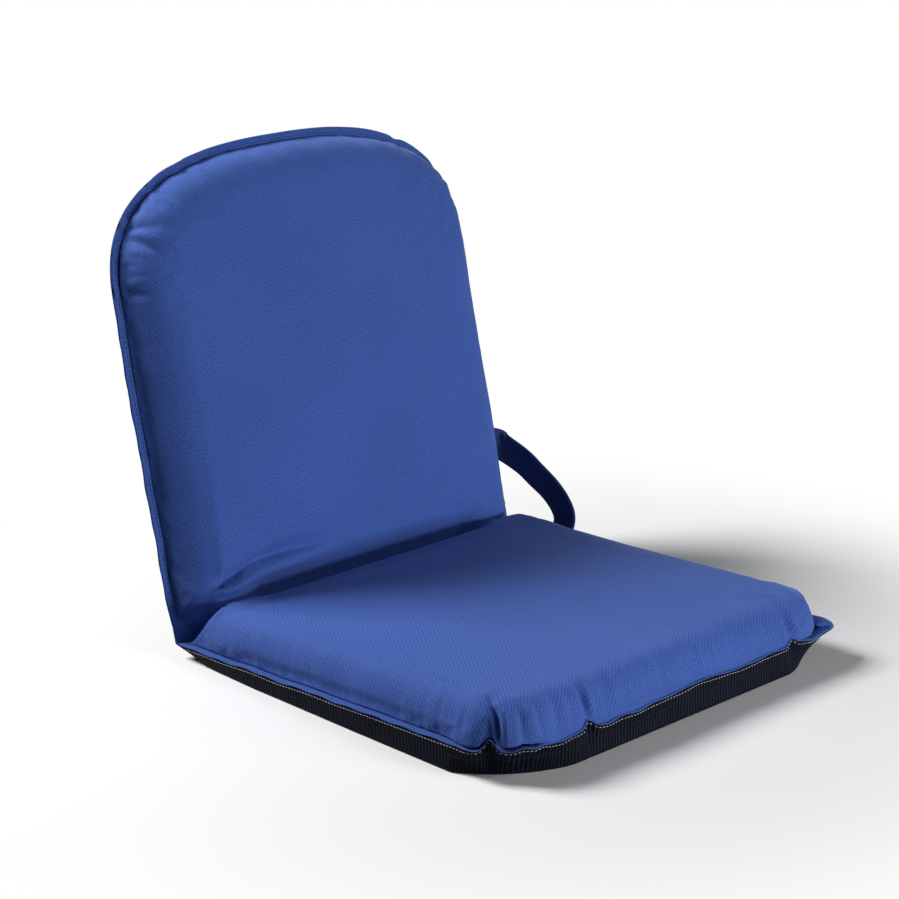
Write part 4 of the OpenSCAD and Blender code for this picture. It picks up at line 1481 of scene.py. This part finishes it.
@dataclass
class CarryStrap:
    """The folded band that is sewn into the right side seams of both halves.

    The path gives points from the back to the seat, across, along and up from the hinge corner. At
    each of them the band's width is turned by an angle in degrees.
    """

    width: float = 30.0
    thick: float = 2.6
    hem: float = 3.0
    round_off: float = 0.6
    steps: int = 60
    path: tuple[tuple[float, float, float], ...] = (
        (206.0, 26.0, 91.0), (212.0, 24.0, 90.0), (218.0, 20.0, 86.0), (224.0, -2.0, 75.0),
        (228.0, -18.0, 63.0), (232.0, -33.0, 51.0), (234.0, -44.0, 39.0), (233.5, -51.0, 28.0),
        (230.0, -53.0, 18.0), (223.0, -51.0, 9.5), (214.0, -48.0, 4.2), (204.0, -46.0, 2.4))
    turn: tuple[float, ...] = (-13.6, -10.0, 8.0, 22.0, 34.0, 46.0, 56.0, 66.0, 76.0, 86.0, 90.0, 92.0)

    def build(self) -> bpy.types.Object:
        """Makes the strap, swept along its path with soft edges.

        Returns:
            The strap.
        """
        way = np.array(self.path) + np.array([0.0, CORNER[1], CORNER[2]])
        t, at = np.linspace(0, 1, len(way)), np.linspace(0, 1, self.steps)
        pts = np.c_[tuple(self._ease(t, way[:, k], at) for k in range(3))]
        angle = np.radians(self._ease(t, np.array(self.turn), at))
        run = np.gradient(pts, axis=0)
        run /= np.linalg.norm(run, axis=1, keepdims=True)
        wide = np.c_[np.zeros_like(angle), -np.sin(angle), np.cos(angle)]
        wide -= (wide * run).sum(1, keepdims=True) * run
        wide /= np.linalg.norm(wide, axis=1, keepdims=True)
        flat = np.cross(run, wide)
        w, h = self.width / 2, self.thick / 2
        upper = [(-w + self.round_off, h * 0.8), (-w + self.hem, h), (-w / 2, h * 0.75), (0, h * 0.6),
                 (w / 2, h * 0.75), (w - self.hem, h), (w - self.round_off, h * 0.8)]
        spots = np.array([(-w, 0.0), *upper, (w, 0.0), *((a, -b) for a, b in reversed(upper))])
        rings = [pts[i] + spots[:, :1] * wide[i] + spots[:, 1:] * flat[i] for i in range(len(pts))]
        dist = np.concatenate([[0], np.cumsum(np.linalg.norm(np.diff(pts, axis=0), axis=1))])
        bm, _ = sweep(rings, list(dist))
        closed_by_ends(bm)
        return mesh_object("strap", bm)

    @staticmethod
    def _ease(t: np.ndarray, values: np.ndarray, at: np.ndarray) -> np.ndarray:
        """Reads a smooth curve through given values.

        Args:
            t: Where the values lie.
            values: The values.
            at: Where the curve is read.

        Returns:
            The curve's values there.
        """
        slope = np.gradient(values, t)
        i = np.clip(np.searchsorted(t, at, side="right") - 1, 0, len(t) - 2)
        h = t[i + 1] - t[i]
        q = (at - t[i]) / h
        return ((2 * q ** 3 - 3 * q ** 2 + 1) * values[i] + (q ** 3 - 2 * q ** 2 + q) * h * slope[i]
                + (-2 * q ** 3 + 3 * q ** 2) * values[i + 1] + (q ** 3 - q ** 2) * h * slope[i + 1])


# ---- chair and studio


class Chair:
    """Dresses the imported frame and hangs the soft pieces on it."""

    METAL: dict[str, Finish] = {
        "seat_tube": TUBE, "back_tube": TUBE, "seat_cross_tube": TUBE, "back_cross_tube": TUBE,
        "seat_rivets": RIVET, "back_rivets": RIVET}

    def __init__(self, frame: dict) -> None:
        """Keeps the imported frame."""
        self.frame = frame
        self.wardrobe = Wardrobe()

    def dress_frame(self) -> None:
        """Gives each CAD node that shows its finish."""
        for name, obj in self.frame["nodes"].items():
            finish: Finish | None = self.METAL.get(name)
            if "foam" in name:
                finish = FOAM
            elif "hinge_pin" in name or "pawl_pin" in name:
                finish = RIVET
            elif "pawl_spring" in name:
                finish = SPRING
            elif "ratchet" in name or "cheeks" in name or name.startswith("pawl_"):
                finish = PLATE
            elif finish is None:
                finish = BLUE_SEAM if "seam" in name else BLUE
            obj.data.materials.clear()
            obj.data.materials.append(self.wardrobe.get(finish))

    def _bend(self, obj: bpy.types.Object) -> None:
        """Bakes a piece's placement into its mesh, leaving its shape as built.

        Args:
            obj: The piece.
        """
        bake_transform(obj)

    def hang_soft_pieces(self) -> None:
        """Builds and places every soft piece."""
        cover = Cushions().build()
        self.wardrobe.dress(cover, BLUE)
        self._bend(cover)
        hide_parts("seat_top_cover", "back_front_cover", "crease_cover", "seat_upper_foam",
                    "back_upper_foam", "seat_crease_foam", "back_crease_foam", "back_lower_foam")
        self._report(cover)
        band = SeamBand().build()
        self.wardrobe.dress(band, BLUE_SEAM)
        self._bend(band)
        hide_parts("seat_seam", "back_seam", "corner_seam_left", "corner_seam_right")
        self._report(band)
        base = BaseCloth().build()
        self.wardrobe.dress(base, BLACK)
        self._bend(base)
        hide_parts("seat_base_cover", "corner_cover", "back_rear_cover", "seat_lower_foam")
        self._report(base)
        strap = CarryStrap().build()
        self.wardrobe.dress(strap, STRAP)
        self._bend(strap)
        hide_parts("carry_strap")
        self._report(strap)
        for row in self._rows():
            obj = row.build()
            self.wardrobe.dress(obj, row.finish)
            self._bend(obj)
            self._report(obj)

    @staticmethod
    def _rows() -> Iterable[Stitches]:
        """Describes the rows of stitches that the photograph shows.

        Returns:
            The rows, one by one.
        """
        cloth = BaseCloth()

        def under(drop: float) -> Callable[[np.ndarray, np.ndarray, np.ndarray], np.ndarray]:
            """A row on the seat's wall.

            Args:
                drop: How far it lies under the seam's plane.

            Returns:
                A function that places its stitches.
            """
            def at(line: np.ndarray, out: np.ndarray, _move: np.ndarray) -> np.ndarray:
                """Places of the stitches."""
                share = np.clip(drop / np.maximum(seat_depth(np.maximum(line[:, 1], 0)), 1), 0, 0.9)
                return cloth.wall(SEAT, line, out, share, 0.1)
            return at

        def on_band(line: np.ndarray, out: np.ndarray, move: np.ndarray) -> np.ndarray:
            """Places of a row on top of the back's seam allowance."""
            x, s = (line - 5.5 * out + move[:, :2]).T
            return BACK.place(x, s, 0.8 + move[:, 2] * 0.9)

        yield Stitches("stitches_edge", SEAT, THREAD_WHITE, 3.6, 2.6, 0.6, under(1.6), start=12.0)
        yield Stitches("stitches_low", SEAT, THREAD_DARK, 4.0, 2.6, 0.6, under(9.0), span=(0.3, 0.72))
        yield Stitches("stitches_back", BACK, THREAD_DARK, 4.2, 3.0, 0.7, on_band, start=16.0)

    @staticmethod
    def _report(obj: bpy.types.Object) -> None:
        """Logs a piece's face count."""
        LOG.info("%s: %d faces", obj.name, len(obj.data.polygons))


@dataclass
class Studio:
    """The camera, floor and lights."""

    eye: tuple[float, float, float] = (-1.5369, -1.5011, 0.8525)
    aim: tuple[float, float, float] = (0.0912, 0.1658, 0.1352)
    lens: float = 104.49
    lit: tuple[float, float, float] = (0.0, 0.05, 0.12)
    lamp_away: float = 2.4
    floor_to_chair: float = 0.14
    floor_to_camera: float = 1.0
    world_soft: float = 0.04

    def build(self) -> None:
        """Makes the camera, the floor, the lamps and the world."""
        self._camera()
        self._floor()
        self._lamp("rear_left_box", (-147.0, 43.0), (0.8, 0.8), 66.0)
        self._lamp("front_low_box", (16.0, 1.5), (1.0, 0.3), 36.0)
        self._lamp("front_high_box", (18.0, 36.0), (0.8, 0.8), 9.0)
        self._world()

    def _camera(self) -> None:
        """The camera at the photograph's place."""
        data = bpy.data.cameras.new("camera")
        data.lens = self.lens
        data.sensor_width = 36.0
        data.clip_end = 50.0
        cam = bpy.data.objects.new("camera", data)
        cam.location = self.eye
        way = Vector(self.aim) - Vector(self.eye)
        cam.rotation_euler = way.to_track_quat("-Z", "Y").to_euler()
        bpy.context.scene.collection.objects.link(cam)
        bpy.context.scene.camera = cam

    def _floor(self) -> None:
        """A pale floor that shows white and keeps the shadow."""
        bm = bmesh.new()
        bmesh.ops.create_grid(bm, x_segments=2, y_segments=2, size=8.0)
        bmesh.ops.translate(bm, verts=bm.verts, vec=(0.0, 0.0, -0.0005))
        floor = mesh_object("floor", bm, False)
        mat = bpy.data.materials.new("floor_pale")
        mat.use_nodes = True
        tree = mat.node_tree
        tree.nodes.clear()
        b = NodeBuilder(tree)
        seen = self._seen(b)
        coord = b.add("ShaderNodeTexCoord")
        far = b.add("ShaderNodeVectorMath", operation="LENGTH")
        b.link(coord.outputs["Object"], far.inputs[0])
        ramp = b.add("ShaderNodeMapRange", interpolation_type="SMOOTHSTEP", From_Min=0.3, From_Max=0.62)
        b.link(far.outputs["Value"], ramp.inputs["Value"])
        tone = b.add("ShaderNodeMix", data_type="RGBA")
        tone.inputs[6].default_value = (*(self.floor_to_chair,) * 3, 1.0)
        tone.inputs[7].default_value = (*(self.floor_to_camera,) * 3, 1.0)
        b.link(seen, tone.inputs[0])
        near = b.add("ShaderNodeBsdfDiffuse")
        b.link(tone.outputs[2], near.inputs["Color"])
        white = b.add("ShaderNodeEmission", Strength=1.0)
        mix = b.add("ShaderNodeMixShader")
        b.link(b.math("MULTIPLY", seen, ramp.outputs[0]), mix.inputs[0])
        b.link(near.outputs[0], mix.inputs[1])
        b.link(white.outputs[0], mix.inputs[2])
        out = b.add("ShaderNodeOutputMaterial")
        b.link(mix.outputs[0], out.inputs[0])
        floor.data.materials.append(mat)

    @staticmethod
    def _seen(b: NodeBuilder) -> bpy.types.NodeSocket:
        """Finds the rays that see the white background: from the camera, and reflected or bent ones.

        Args:
            b: The builder on the material's or the world's tree.

        Returns:
            A value that is 1 for those rays.
        """
        path = b.add("ShaderNodeLightPath")
        seen = b.math("MAXIMUM", path.outputs["Is Camera Ray"], path.outputs["Is Glossy Ray"])
        return b.math("MAXIMUM", seen, path.outputs["Is Transmission Ray"])

    def _lamp(self, name: str, toward: tuple[float, float], size: tuple[float, float], power: float) -> None:
        """Adds a soft box that faces the chair.

        Args:
            name: The lamp's name.
            toward: Its direction in degrees: round from straight in front towards +X, and up.
            size: Width and height of the box in metres.
            power: Its power in watts.
        """
        data = bpy.data.lights.new(name, "AREA")
        data.shape = "RECTANGLE"
        data.size, data.size_y = size
        data.energy = power
        a, e = math.radians(toward[0]), math.radians(toward[1])
        way = Vector((math.sin(a) * math.cos(e), -math.cos(a) * math.cos(e), math.sin(e)))
        lamp = bpy.data.objects.new(name, data)
        lamp.location = Vector(self.lit) + way * self.lamp_away
        lamp.rotation_euler = (-way).to_track_quat("-Z", "Y").to_euler()
        bpy.context.scene.collection.objects.link(lamp)

    def _world(self) -> None:
        """A white world to the camera, and a softer one to the chair."""
        world = bpy.data.worlds.new("studio")
        world.use_nodes = True
        tree = world.node_tree
        tree.nodes.clear()
        b = NodeBuilder(tree)
        seen = self._seen(b)
        soft = b.add("ShaderNodeBackground", Strength=self.world_soft)
        white = b.add("ShaderNodeBackground", Strength=1.0)
        soft.inputs[0].default_value = (1.0, 1.0, 1.0, 1.0)
        white.inputs[0].default_value = (1.0, 1.0, 1.0, 1.0)
        mix = b.add("ShaderNodeMixShader")
        b.link(seen, mix.inputs[0])
        b.link(soft.outputs[0], mix.inputs[1])
        b.link(white.outputs[0], mix.inputs[2])
        out = b.add("ShaderNodeOutputWorld")
        b.link(mix.outputs[0], out.inputs[0])
        bpy.context.scene.world = world


def main() -> None:
    """Builds the chair's looks and the studio."""
    logging.basicConfig(level=logging.INFO, format="%(name)s: %(message)s")
    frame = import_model()
    scene = bpy.context.scene
    scene.view_settings.view_transform = "Standard"
    chair = Chair(frame)
    chair.dress_frame()
    chair.hang_soft_pieces()
    Studio().build()
    bpy.context.view_layer.update()


if __name__ == "__main__":
    main()
